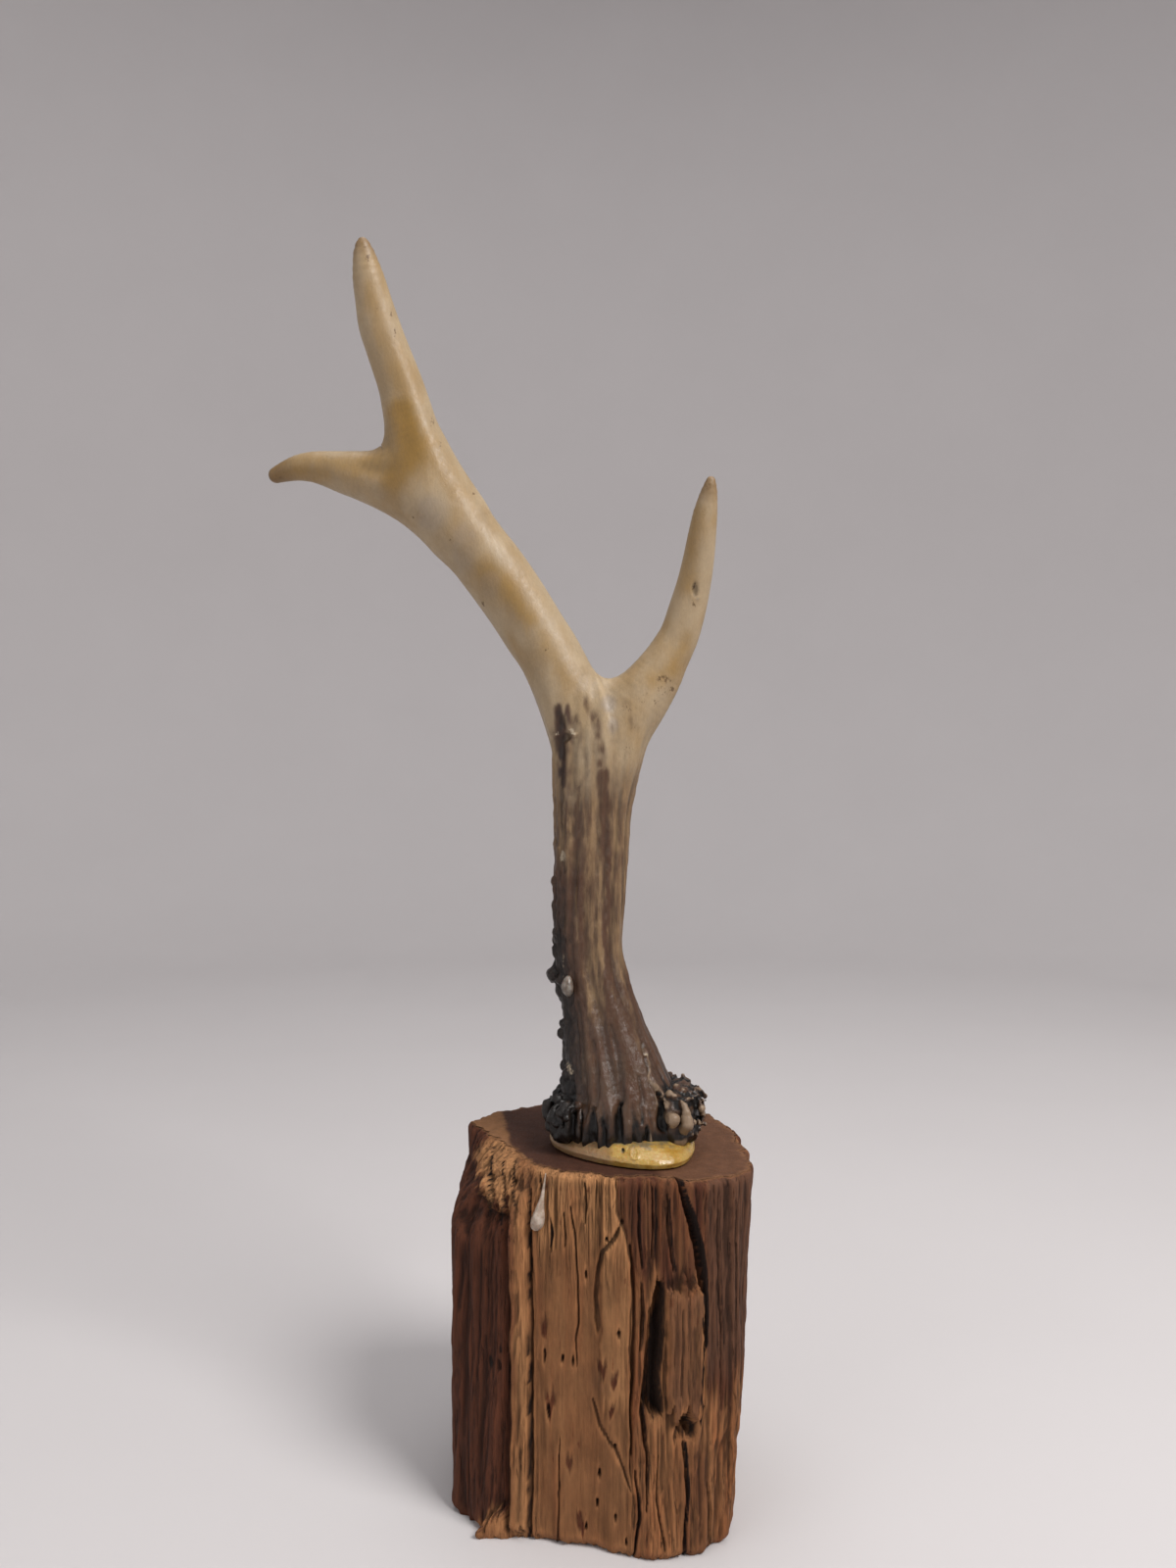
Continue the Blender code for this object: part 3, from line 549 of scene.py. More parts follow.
def skin_detail(points, lower, front):
    """Finer relief than the solids carry: furrows, grain, gaps and pits, in mm outwards."""
    angle, (x, y, z) = beam_angle(points, lower), points.T
    around_x, around_y = np.cos(angle), np.sin(angle)
    low = fade(z, 160, 184)
    furrows = noise(around_x * 11 + 2, around_y * 11, z / 13.0) - 0.5
    hair = noise(around_x * 19, around_y * 19 + 8, z / 7.0) - 0.5
    grain = noise(x / 1.1, y / 1.1, z / 1.6) - 0.5
    rough_side = rise(-np.cos(angle), 0.1, 0.8)
    relief = low * np.interp(z, (84, 100, 130, 165), (0.6, 0.5, 0.45, 0.25)) * furrows
    relief += low * np.interp(z, (84, 110, 160), (0.26, 0.22, 0.12)) * hair
    relief += low * (0.16 + 0.5 * rough_side * (z < 160)) * grain
    coronet = rise(burr_reach(x, y), 13.0, 15.5) * fade(z, 92, 96)
    relief += 1.1 * coronet * (noise(x / 1.9, y / 1.9, z / 1.9) - 0.6)
    # the beam flares over the front of the burr and ends there in fingers with deep gaps between
    relief += 0.6 * front * fade(z, 86, 94) * rise(-around_y, 0.55, 0.75)
    xs, zs = x + 0.5 * (noise(x / 2.0, 3.0, z / 2.6) - 0.5), z + 1.4 * furrows
    for path, depth, _ in FOOT_GAPS:
        relief -= depth * front * line(xs, zs, path, 0.3, 1.35)
    for path in FOOT_EDGES:
        relief += 0.4 * front * line(xs, zs, path, 0.2, 1.3)
    # broad facets, a shallow gutter and a low ridge on the smooth upper antler
    relief += (1 - low) * 0.3 * (noise(x / 9.0, y / 9.0, z / 14.0) - 0.5)
    for start, end, half_width, height in DELLS:
        relief += height * front * dell(x, z, start, end, half_width)
    for centre, half_sizes, depth in PITS:
        relief -= depth * front * spot(xs, z + 0.6 * grain, centre, half_sizes)
    for centre, half_sizes, height in BUMPS:
        relief += height * front * spot(xs, z + 0.6 * grain, centre, half_sizes)
    return relief


# Gaps between the fingers over the front of the burr: path of (x, z, half width), depth, and blackness
FOOT_GAPS = (
    (((-7.7, 95.0, 0.3), (-7.9, 90.5, 0.8), (-8.1, 82.0, 0.9)), 1.3, 1.0),
    (((-5.9, 89.0, 0.2), (-6.0, 86.0, 0.5), (-5.8, 82.0, 0.6)), 0.8, 0.8),
    (((-3.2, 90.2, 0.3), (-3.0, 87.0, 1.0), (-3.2, 82.0, 1.5)), 1.5, 1.0),
    (((-1.0, 88.5, 0.2), (-0.8, 86.0, 0.5), (-1.0, 82.0, 0.8)), 1.0, 0.8),
    (((2.6, 91.6, 0.3), (2.1, 88.6, 0.8), (2.0, 82.0, 1.3)), 1.6, 1.0),
    (((0.6, 108.0, 0.3), (1.9, 102.0, 0.7), (3.1, 97.0, 0.9), (2.9, 91.6, 0.6)), 0.55, 0.3),
    (((5.4, 85.4, 0.3), (5.6, 82.0, 0.7)), 1.0, 0.7),
    (((8.4, 87.0, 0.3), (8.3, 84.6, 0.7), (8.2, 82.0, 0.9)), 1.3, 0.9),
    (((11.0, 94.0, 0.3), (11.7, 91.5, 0.7), (11.9, 87.0, 1.1)), 1.4, 1.0),
    (((6.9, 97.0, 0.4), (7.6, 92.0, 0.7), (7.4, 88.0, 0.4)), 0.35, 0.15),
    (((-3.0, 104.0, 0.5), (-2.4, 97.0, 0.8), (-2.6, 91.0, 0.5)), 0.35, 0.15),
    (((7.6, 103.0, 0.4), (9.6, 96.5, 0.6), (11.0, 93.0, 0.4)), 0.5, 0.3),
)
FOOT_EDGES = (
    ((8.6, 101.8, 0.3), (9.4, 97.5, 0.6), (11.6, 93.5, 0.6), (13.0, 91.0, 0.4)),
    ((4.6, 95.0, 0.5), (4.4, 85.0, 0.8)), ((-6.4, 92.0, 0.6), (-6.8, 84.0, 0.6)),
    ((0.8, 91.0, 0.5), (0.7, 84.5, 0.9)), ((-3.3, 90.5, 0.4), (-3.4, 85.0, 0.5)),
)

# Gutters and low ridges on the upper antler: both ends (x, z), half width, and height
DELLS = (
    ((-51.5, 261.0), (-41.0, 228.0), 4.6, -0.55), ((-51.5, 270.0), (-38.5, 235.0), 2.6, 0.1),
    ((-45.5, 250.0), (-24.0, 211.0), 2.8, 0.1), ((-31.0, 214.0), (-10.0, 182.0), 4.0, -0.3),
    ((-66.0, 238.5), (-46.0, 233.5), 3.0, -0.3), ((17.0, 196.0), (21.0, 214.0), 1.8, -0.2),
)
# Pits and raised flecks on the front of the antler: middle (x, z), half width and height, and depth
PITS = (
    ((-9.5, 173.0), (1.0, 1.3), 0.9), ((-10.6, 170.0), (0.9, 2.6), 0.45), ((-10.3, 176.5), (0.7, 1.6), 0.3),
    ((20.0, 206.8), (0.7, 1.7), 0.6), ((11.0, 106.0), (0.5, 1.2), 0.3),
)
BUMPS = (
    ((-8.0, 173.6), (0.9, 0.6), 0.5), ((-11.6, 173.4), (0.6, 0.5), 0.4), ((20.7, 205.0), (0.4, 0.5), 0.25),
    ((8.6, 101.6), (0.8, 0.7), 0.5), ((-8.7, 97.4), (1.1, 1.2), 0.6),
)

# Dark lengthwise streaks on the front of the beam, as paths of (x, z, half width), and how strong each is
STREAKS = (
    (((-1.5, 165.0, 1.4), (-0.9, 157.3, 1.9), (-0.7, 151.5, 1.3), (-0.6, 148.5, 1.5), (-0.1, 142.0, 0.8),
      (-0.1, 135.0, 0.95), (-0.4, 128.0, 0.9), (-0.1, 118.0, 1.3), (0.8, 108.0, 1.0), (2.1, 101.5, 0.9),
      (3.1, 95.5, 0.9), (3.1, 88.0, 1.0)), 0.8),
    (((-9.3, 168.3, 0.3), (-9.2, 158.0, 0.45), (-9.4, 148.0, 0.6)), 0.45),
    (((-7.0, 162.0, 0.4), (-6.6, 156.0, 1.0), (-6.5, 150.0, 1.9), (-6.6, 146.0, 2.3)), 0.6),
    (((1.8, 162.0, 0.5), (2.4, 150.0, 0.9), (2.3, 130.0, 0.6)), 0.25),
    (((-4.9, 165.0, 0.8), (-6.4, 162.0, 0.5)), 0.35), (((3.6, 147.0, 0.5), (3.4, 120.0, 0.7)), 0.3),
)

# Soft smudges at the main fork, as paths of (x, z, half width): how brown and how black each is
SMUDGES = (
    (((-4.9, 182.0, 0.8), (-4.0, 179.0, 1.3), (-2.4, 175.6, 1.5), (-1.2, 171.0, 1.5), (-1.4, 165.0, 1.7),
      (-1.1, 160.0, 1.6)), 0.62, 0.0),
    (((-7.1, 177.5, 0.8), (-6.2, 173.8, 1.2), (-5.3, 169.3, 1.0), (-5.0, 166.5, 0.7)), 0.5, 0.0),
    (((-11.4, 179.5, 1.2), (-10.9, 174.5, 2.2), (-10.4, 169.0, 1.8), (-10.2, 162.5, 1.0)), 0.92, 0.42),
    (((-9.0, 179.4, 0.9), (-8.4, 175.0, 1.4), (-8.1, 171.5, 1.0)), 0.75, 0.25),
    (((-9.8, 173.0, 3.4), (-9.0, 163.0, 3.0)), 0.55, 0.0),
    (((0.8, 180.5, 2.4), (1.6, 173.0, 2.4)), 0.34, 0.0),
    (((4.6, 180.4, 1.8), (6.2, 175.5, 1.6)), 0.34, 0.0), (((1.2, 170.0, 1.2), (2.6, 162.0, 1.2)), 0.25, 0.0),
)

# Yellow-brown stains on the upper antler, as paths of (x, z, half width), and how strong each is
STAINS = (
    (((-47.4, 248.0, 4.4), (-46.4, 243.5, 5.6), (-45.4, 238.5, 6.4), (-49.0, 233.5, 5.0)), 1.0),
    (((-51.0, 261.0, 5.0), (-48.4, 251.0, 5.5)), 0.42),
    (((-44.0, 246.0, 3.0), (-39.5, 237.0, 4.0), (-35.0, 229.5, 3.2)), 0.65),
    (((-28.0, 212.0, 4.0), (-24.5, 208.5, 4.6), (-17.5, 200.0, 3.4)), 0.6),
    (((-15.0, 197.0, 2.6), (-8.6, 185.5, 3.0)), 0.35),
    (((20.6, 224.0, 2.0), (19.2, 216.5, 3.0), (18.0, 207.0, 2.4)), 0.5),
    (((-80.0, 237.5, 5.0), (-66.0, 236.5, 5.0), (-52.0, 235.5, 5.0)), 0.6),
    (((11.0, 186.0, 3.0), (15.4, 189.0, 3.2), (18.4, 196.0, 2.2)), 0.5),
    (((-36.0, 224.5, 3.0), (-30.5, 216.0, 3.0)), 0.2), (((-55.5, 284.0, 3.0), (-53.5, 270.0, 3.0)), 0.3),
)

# Bluish-grey patches: middle (x, z), half width and height, and strength
GREYS = (
    ((-40.5, 224.5), (5.0, 5.0), 0.4), ((-33.0, 216.5), (4.0, 7.0), 0.35), ((0.2, 180.6), (2.2, 2.6), 0.5),
    ((1.2, 175.4), (1.6, 2.4), 0.45), ((-27.0, 208.5), (3.0, 4.0), 0.3), ((-50.0, 262.0), (2.0, 6.0), 0.2),
)

# Small brown marks: middle (x, z), half width and height, and strength
FLECKS = (
    ((-55.2, 283.6), (0.5, 0.7), 0.75), ((-54.3, 281.4), (0.45, 1.1), 0.75),
    ((-54.6, 278.8), (0.4, 0.4), 0.6), ((-55.4, 273.9), (0.6, 0.6), 0.5),
    ((-52.4, 270.4), (0.5, 0.5), 0.5), ((-49.6, 269.8), (0.4, 1.4), 0.7),
    ((-48.6, 265.6), (0.35, 1.6), 0.75), ((-40.4, 246.0), (0.4, 2.2), 0.5),
    ((-38.6, 240.5), (0.4, 1.8), 0.5), ((-31.3, 229.7), (0.4, 0.8), 0.6),
    ((-29.2, 204.4), (0.4, 0.8), 0.9), ((-45.0, 224.0), (0.6, 0.5), 0.5),
    ((-21.5, 209.5), (0.5, 0.5), 0.5), ((-13.8, 193.0), (0.4, 0.6), 0.7),
    ((-12.4, 190.0), (0.35, 0.5), 0.6), ((-12.0, 193.2), (0.4, 0.5), 0.5),
    ((19.7, 207.2), (0.8, 1.2), 0.7), ((20.4, 205.6), (0.5, 0.6), 0.6), ((19.7, 203.4), (0.6, 1.1), 0.6),
    ((13.1, 186.4), (1.8, 1.1), 0.6), ((14.9, 184.2), (0.7, 0.8), 0.85), ((12.4, 183.8), (1.8, 1.6), 0.4),
    ((5.2, 179.6), (1.8, 1.5), 0.45), ((8.0, 181.8), (1.6, 1.4), 0.4), ((6.4, 175.4), (1.2, 1.2), 0.35),
    ((5.3, 170.0), (1.8, 2.2), 0.35), ((11.0, 181.2), (0.9, 0.9), 0.35), ((-36.3, 218.4), (0.5, 0.5), 0.5),
    ((21.4, 223.0), (0.5, 2.4), 0.4), ((22.6, 229.5), (0.8, 1.5), 0.55), ((-79.0, 236.4), (2.0, 2.0), 0.5),
    ((1.5, 186.5), (0.6, 0.8), 0.4), ((-6.5, 164.0), (0.9, 0.6), 0.4), ((2.2, 158.0), (1.0, 2.0), 0.3),
)

# White scars: middle (x, z), half width and height, and strength
CHIPS = (
    ((-10.2, 145.6), (0.9, 1.3), 0.9), ((-9.7, 121.0), (0.4, 3.6), 0.4), ((-8.0, 173.6), (0.9, 0.6), 0.9),
    ((-11.6, 173.4), (0.6, 0.5), 0.8), ((8.6, 101.6), (0.7, 0.5), 0.7), ((-8.6, 97.6), (1.2, 1.3), 0.6),
    ((20.6, 205.0), (0.4, 0.5), 0.8), ((-10.0, 157.0), (0.3, 3.0), 0.4),
)

# Pale streaks that cross the brown of the beam, as paths of (x, z, half width), and how strong each is
PALE_STREAKS = (
    (((-7.1, 138.0, 0.2), (-7.0, 131.0, 0.6), (-7.1, 126.0, 0.2)), 0.35),
    (((-9.9, 137.0, 0.2), (-9.9, 132.0, 0.4), (-9.8, 127.0, 0.2)), 0.3),
    (((2.9, 119.0, 1.0), (4.6, 110.0, 1.1), (8.0, 102.0, 0.8)), 0.3),
    (((-2.6, 122.0, 0.8), (-1.6, 108.0, 0.6)), 0.25), (((-4.4, 103.0, 1.6), (-4.6, 95.0, 1.8)), 0.2),
)


def antler_paint(mesh, points, lower):
    """Store what the antler's material needs to know of each place."""
    normals = get_normals(mesh)
    x, y, z = points.T
    front = rise(-normals[:, 1], -0.25, 0.25)
    angle = beam_angle(points, lower)
    around_x, around_y = np.cos(angle), np.sin(angle)
    wander = noise(around_x * 5, around_y * 5, z / 9.0) - 0.5
    blot = noise(x / 0.9, y / 0.9, z / 1.7) - 0.5
    xs = x + 1.0 * (noise(x / 2.4, 6.0, z / 4.0) - 0.5) + 0.7 * blot
    zs = z + 2.4 * wander + 0.9 * blot

    # brown of the lower beam
    brown = np.zeros(len(points))
    for path, strength in STREAKS:
        brown = np.maximum(brown, strength * front * line(xs, zs, path, 0.45, 1.35))
    smudge_black = np.zeros(len(points))
    for path, brownness, blackness in SMUDGES:
        smudge = front * np.exp(-1.1 * path_distance(xs, zs, path) ** 2) * (1.0 + 0.9 * blot)
        brown = np.maximum(brown, brownness * smudge)
        smudge_black = np.maximum(smudge_black, blackness * smudge)
    left_zone = fade(x + 1.4 * wander + 0.8 * blot, -5.6, -3.9) * fade(z + 7 * wander, 139, 151)
    brown = np.maximum(brown, 0.85 * front * left_zone)
    foot_zone = fade(z + 9 * wander - 1.1 * np.clip(x, -6, 8), 106, 128)
    brown = np.maximum(brown, 0.92 * foot_zone)
    bands = noise(around_x * 3.4 + 7, around_y * 3.4, z / 60.0)
    behind = (1 - front) * fade(z + 14 * wander, 150, 182)
    brown = np.maximum(brown, behind * (0.35 + 0.6 * rise(bands, 0.35, 0.62)))
    for path, strength in PALE_STREAKS:
        brown -= strength * front * line(xs, zs, path, 0.2, 1.6)

    # black: painted shade in the hollows and gaps between the lobes and fingers of the burr, a painted shadow
    # over the left of the foot, and dark grime on the rough left side and behind
    deep = hollowness(mesh, points, ANTLER_HOLLOW_ROUNDS)
    low = fade(z, 94, 104)
    rough_side = rise(-np.cos(angle), 0.35, 0.9) * fade(z + 8 * wander, 120, 150)
    # painted shadow over the left of the foot
    left_foot_shadow = fade(x + 2.5 * wander, -9.4, -7.2) * fade(z, 95, 99)
    middle = front * stripe(x, -8.0, 12.0, 1.0)
    coronet = low * rise(burr_reach(x, y), 12.6, 14.6) * fade(z, 92, 96)
    black = np.maximum.reduce([
        low * rise(deep, -0.2, 0.12) * (1 - 0.8 * middle * rise(z, 86.5, 91.5)),
        0.9 * fade(z + 3.4 * wander, 84.0, 90.0) * rise(deep, -0.5, 0.05),
        *(blackness * front * line(xs, zs, path, 0.5, 1.5) for path, _, blackness in FOOT_GAPS),
        # the burr itself is dark, and the fingers darken towards their tips
        0.42 * coronet, 0.78 * front * fade(z + 5 * wander, 83.0, 89.0), 0.75 * rough_side, 0.95 * left_foot_shadow,
        smudge_black,
    ])
    # pale tips of the lobes, partly real wear and partly a painted highlight, palest on the right where the
    # light falls
    worn = low * rise(-deep, 0.22, 0.62) * (0.2 + 0.8 * rise(x, 2, 12))
    worn = np.maximum(worn, 0.9 * spot(x, z, (13.7, 88.6), (1.7, 1.5)) * front)
    worn = np.maximum(worn, 0.7 * front * line(xs, zs, FOOT_EDGES[0], 0.2, 1.0))

    stain = np.zeros(len(points))
    for path, strength in STAINS:
        soft = strength * np.exp(-1.3 * path_distance(x, z, path) ** 2)
        stain = np.maximum(stain, soft * (0.3 + 0.7 * front))
    tips = rise(z, 278, 287) + rise(-x, 70, 81) + rise(z, 222, 231) * (x > 10)
    bare = rise(z + 10 * wander, 146, 184)
    foot = fade(z + 8 * wander, 96, 122)
    store(mesh, "tone", brown, black, worn)
    store(mesh, "marks", stain, spots(x, z, front, GREYS), spots(xs, z, front, FLECKS))
    # form: how hollow each place is, for the painted shade and highlights; the brown tips; the white scars
    store(mesh, "form", rise(deep, -0.25, 0.25), tips, spots(xs, zs, front, CHIPS))
    store(mesh, "zone", bare, foot, rough_side)


def tube_mesh(fine, name):
    """A round tube along a branch, with closed ends."""
    curve = bpy.data.curves.new(name, "CURVE")
    curve.dimensions = "3D"
    curve.bevel_depth = MM
    curve.bevel_resolution = 5
    curve.use_fill_caps = True
    start, end = (tip + (tip - near) / np.linalg.norm(tip[:3] - near[:3]) * 0.8 * tip[3]
                  for tip, near in ((fine[0], fine[1]), (fine[-1], fine[-2])))
    start[3], end[3] = 0.5 * fine[0][3], 0.4 * fine[-1][3]
    fine = [start, *fine, end]
    strand = curve.splines.new("POLY")
    strand.points.add(len(fine) - 1)
    for point, (x, y, z, radius) in zip(strand.points, fine):
        point.co = (x * MM, y * MM, z * MM, 1.0)
        point.radius = radius
    source = new_object(name, curve)
    graph = bpy.context.evaluated_depsgraph_get()
    mesh = bpy.data.meshes.new_from_object(source.evaluated_get(graph))
    bpy.data.objects.remove(source)
    bpy.data.curves.remove(curve)
    return mesh


def remeshed(made, voxel):
    """Replace an object's mesh by its closed outer skin on a grid of this size in mm."""
    modifier = made.modifiers.new("skin", "REMESH")
    modifier.mode = "VOXEL"
    modifier.voxel_size = voxel * MM
    graph = bpy.context.evaluated_depsgraph_get()
    mesh = bpy.data.meshes.new_from_object(made.evaluated_get(graph))
    made.modifiers.clear()
    old, made.data = made.data, mesh
    bpy.data.meshes.remove(old)


def level_cut(made, height):
    """Cut a mesh off below a height, with a flat face."""
    shape = bmesh.new()
    shape.from_mesh(made.data)
    everything = shape.verts[:] + shape.edges[:] + shape.faces[:]
    cut = bmesh.ops.bisect_plane(shape, geom=everything, plane_co=(0, 0, height * MM), plane_no=(0, 0, 1),
                                 clear_inner=True)
    rim = [part for part in cut["geom_cut"] if isinstance(part, bmesh.types.BMEdge)]
    bmesh.ops.holes_fill(shape, edges=rim, sides=0)
    bmesh.ops.recalc_face_normals(shape, faces=shape.faces)
    shape.to_mesh(made.data)
    shape.free()


def keep_main_body(made):
    """Drop the crumbs and inner bubbles that lie loose beside a mesh's main body."""
    shape = bmesh.new()
    shape.from_mesh(made.data)
    seen, bodies = set(), []
    for start in shape.verts:
        if start in seen:
            continue
        seen.add(start)
        body = [start]
        for vertex in body:
            for edge in vertex.link_edges:
                other = edge.other_vert(vertex)
                if other not in seen:
                    seen.add(other)
                    body.append(other)
        bodies.append(body)
    bodies.sort(key=len)
    for crumb in bodies[:-1]:
        bmesh.ops.delete(shape, geom=crumb, context="VERTS")
    shape.to_mesh(made.data)
    shape.free()


def make_antler():
    branches = [fine_spine(spine) for spine in (LOWER_SPINE, UPPER_SPINE, TOP_SPINE, REAR_SPINE, FRONT_SPINE)]
    lower = branches[0]
    knobs = burr_knobs() + beam_pearls(lower) + small_pearls()
    shape = bmesh.new()
    for i, branch in enumerate(branches):
        mesh = tube_mesh(branch, f"branch_{i}")
        shape.from_mesh(mesh)
        bpy.data.meshes.remove(mesh)
    for x, y, z, size in knobs:
        ball = bmesh.ops.create_icosphere(shape, subdivisions=2, radius=size * MM)
        bmesh.ops.translate(shape, verts=ball["verts"], vec=Vector((x, y, z)) * MM)
    mesh = bpy.data.meshes.new("antler")
    shape.to_mesh(mesh)
    shape.free()
    antler = new_object("antler", mesh)
    remeshed(antler, ANTLER_VOXEL)

    points = get_points(antler.data)
    field = antler_field(branches, knobs)
    for _ in range(SETTLING_ROUNDS):
        gap, slope = field(points)
        steepness = np.maximum((slope**2).sum(axis=1), LEAST_STEEPNESS)
        points -= np.clip(gap / steepness, -MOST_SETTLING, MOST_SETTLING)[:, None] * slope
    _, slope = field(points)
    away = slope / np.maximum(np.linalg.norm(slope, axis=1, keepdims=True), 1e-6)
    front = rise(-away[:, 1], -0.1, 0.4)
    relief = beam_ridges(points, lower) + skin_detail(points, lower, front)
    points += relief[:, None] * away
    set_points(antler.data, points)
    level_cut(antler, FOOT_HEIGHT)
    keep_main_body(antler)
    shade_smooth(antler)
    antler_paint(antler.data, get_points(antler.data), lower)
    return antler


IVORY = srgb(149, 131, 105)
IVORY_WARM = srgb(137, 114, 81)
IVORY_STAIN = srgb(124, 95, 45)
IVORY_GREY = srgb(122, 113, 105)
BEAM_TAN = srgb(122, 98, 70)
BEAM_BROWN = srgb(66, 43, 29)
BEAM_GREY = srgb(70, 51, 37)
BEAM_BLACK = srgb(17, 12, 9)
PEARL_TIP = srgb(116, 97, 78)
FLECK_BROWN = srgb(84, 62, 38)
TIP_BROWN = srgb(104, 80, 50)
CHALK_WHITE = srgb(150, 136, 115)


def antler_material():
    paint = Paint("antler_skin", IOR=1.5, Specular_IOR_Level=0.34)
    cloudy = paint.noise(9.0, (1, 1, 1.8), detail=4, shift=3.0)
    mottle = paint.noise(3.0, (1, 1, 1.6), detail=4, roughness=0.6, shift=6.0)
    speckle = paint.noise(1.1, (1, 1, 1.6), detail=4, roughness=0.7)
    dots = paint.noise(0.55, (1, 1, 1.3), detail=2, roughness=0.6, shift=13.0)
    streaky = paint.noise(1.3, (1, 1, 9), detail=4, roughness=0.6, shift=8.0)
    fine = paint.noise(0.45, (1, 1, 2.2), detail=3, roughness=0.7, shift=1.0)

    colour = paint.mix(paint.fit(cloudy, 0.35, 0.7), IVORY, IVORY_WARM)
    colour = paint.layer(colour, IVORY_STAIN, "marks", "r", mottle, 0.5, 0.0, 1.0)
    colour = paint.layer(colour, IVORY_GREY, "marks", "g", mottle, 0.5, 0.05, 1.0)
    tan = paint.mix(paint.fit(streaky, 0.3, 0.72), BEAM_TAN, BEAM_GREY)
    tan = paint.mix(paint.fit(mottle, 0.45, 0.7, 0.0, 0.4), tan, BEAM_BROWN)
    colour = paint.layer(tan, colour, "zone", "r", streaky, 0.6, 0.1, 0.9)

    umber = paint.mix(paint.fit(speckle, 0.35, 0.7, 0.0, 0.6), BEAM_BROWN, BEAM_GREY)
    ashen = paint.mix(paint.fit(mottle, 0.35, 0.65), BEAM_GREY, BEAM_BROWN)
    umber = paint.mix(paint.channel("zone", "g"), umber, ashen)
    colour = paint.layer(colour, umber, "tone", "r", streaky, 0.6, 0.1, 0.9)
    fleck = paint.ragged("marks", "b", dots, 2.2, 0.45, 0.85)
    colour = paint.mix(paint.times(fleck, 0.85), colour, FLECK_BROWN)
    specks = paint.times(paint.fit(dots, 0.72, 0.8), 0.4)
    colour = paint.mix(specks, colour, FLECK_BROWN)
    # black: grime, with painted shade in the burr's hollows and gaps and a painted shadow at the left of the
    # foot
    colour = paint.layer(colour, BEAM_BLACK, "tone", "g", speckle, 0.6, 0.1, 0.9)
    # pale lobe tips: partly wear, partly a painted highlight
    colour = paint.layer(colour, PEARL_TIP, "tone", "b", speckle, 0.7, 0.2, 0.9)
    colour = paint.mix(paint.fit(paint.channel("form", "g"), 0.1, 1.0, 0.0, 0.75), colour, TIP_BROWN)
    colour = paint.layer(colour, CHALK_WHITE, "form", "b", dots, 1.4, 0.3, 0.8)
    # painted shade in the hollows and painted highlight on the ridges
    colour = paint.shade(colour, paint.channel("form", "r"), 1.14, 0.78)
    colour = paint.shade(colour, mottle, 0.92, 1.07)
    colour = paint.shade(colour, fine, 0.92, 1.07)

    gloss = paint.fit(speckle, 0.3, 0.7, 0.36, 0.54)
    rough = paint.maths("SUBTRACT", gloss, paint.times(paint.channel("zone", "g"), 0.08))
    low_relief = paint.times(streaky, paint.rest(paint.channel("zone", "r")))
    normal = paint.bump(low_relief, 0.22)
    normal = paint.bump(fine, 0.06, normal)
    pores = paint.times(speckle, paint.fit(paint.channel("zone", "r"), 0.0, 1.0, 1.0, 0.4))
    normal = paint.bump(pores, 0.18, normal)
    return paint.finish(colour, rough, normal)


# Wood block


def outline_radius(outline, theta):
    """Distance from the block's axis to an outline, in each direction."""
    corners = np.array(outline)
    angles = np.arctan2(corners[:, 1], corners[:, 0])
    corners, angles = corners[np.argsort(angles)], np.sort(angles)
    start = np.searchsorted(angles, theta) - 1
    first, last = corners[start], corners[(start + 1) % len(corners)]
    edge = last - first
    direction = np.stack([np.cos(theta), np.sin(theta)], axis=-1)
    across = first[:, 0] * edge[:, 1] - first[:, 1] * edge[:, 0]
    return across / (direction[:, 0] * edge[:, 1] - direction[:, 1] * edge[:, 0])


def softened(radius, passes):
    for _ in range(passes):
        radius = (np.roll(radius, 1) + 2 * radius + np.roll(radius, -1)) / 4
    return radius


def outline_at(outline, theta, steps, passes):
    """A softened outline's radius in any directions."""
    grid = np.linspace(-math.pi, math.pi, steps, endpoint=False)
    return np.interp(theta, grid, softened(outline_radius(outline, grid), passes), period=2 * math.pi)


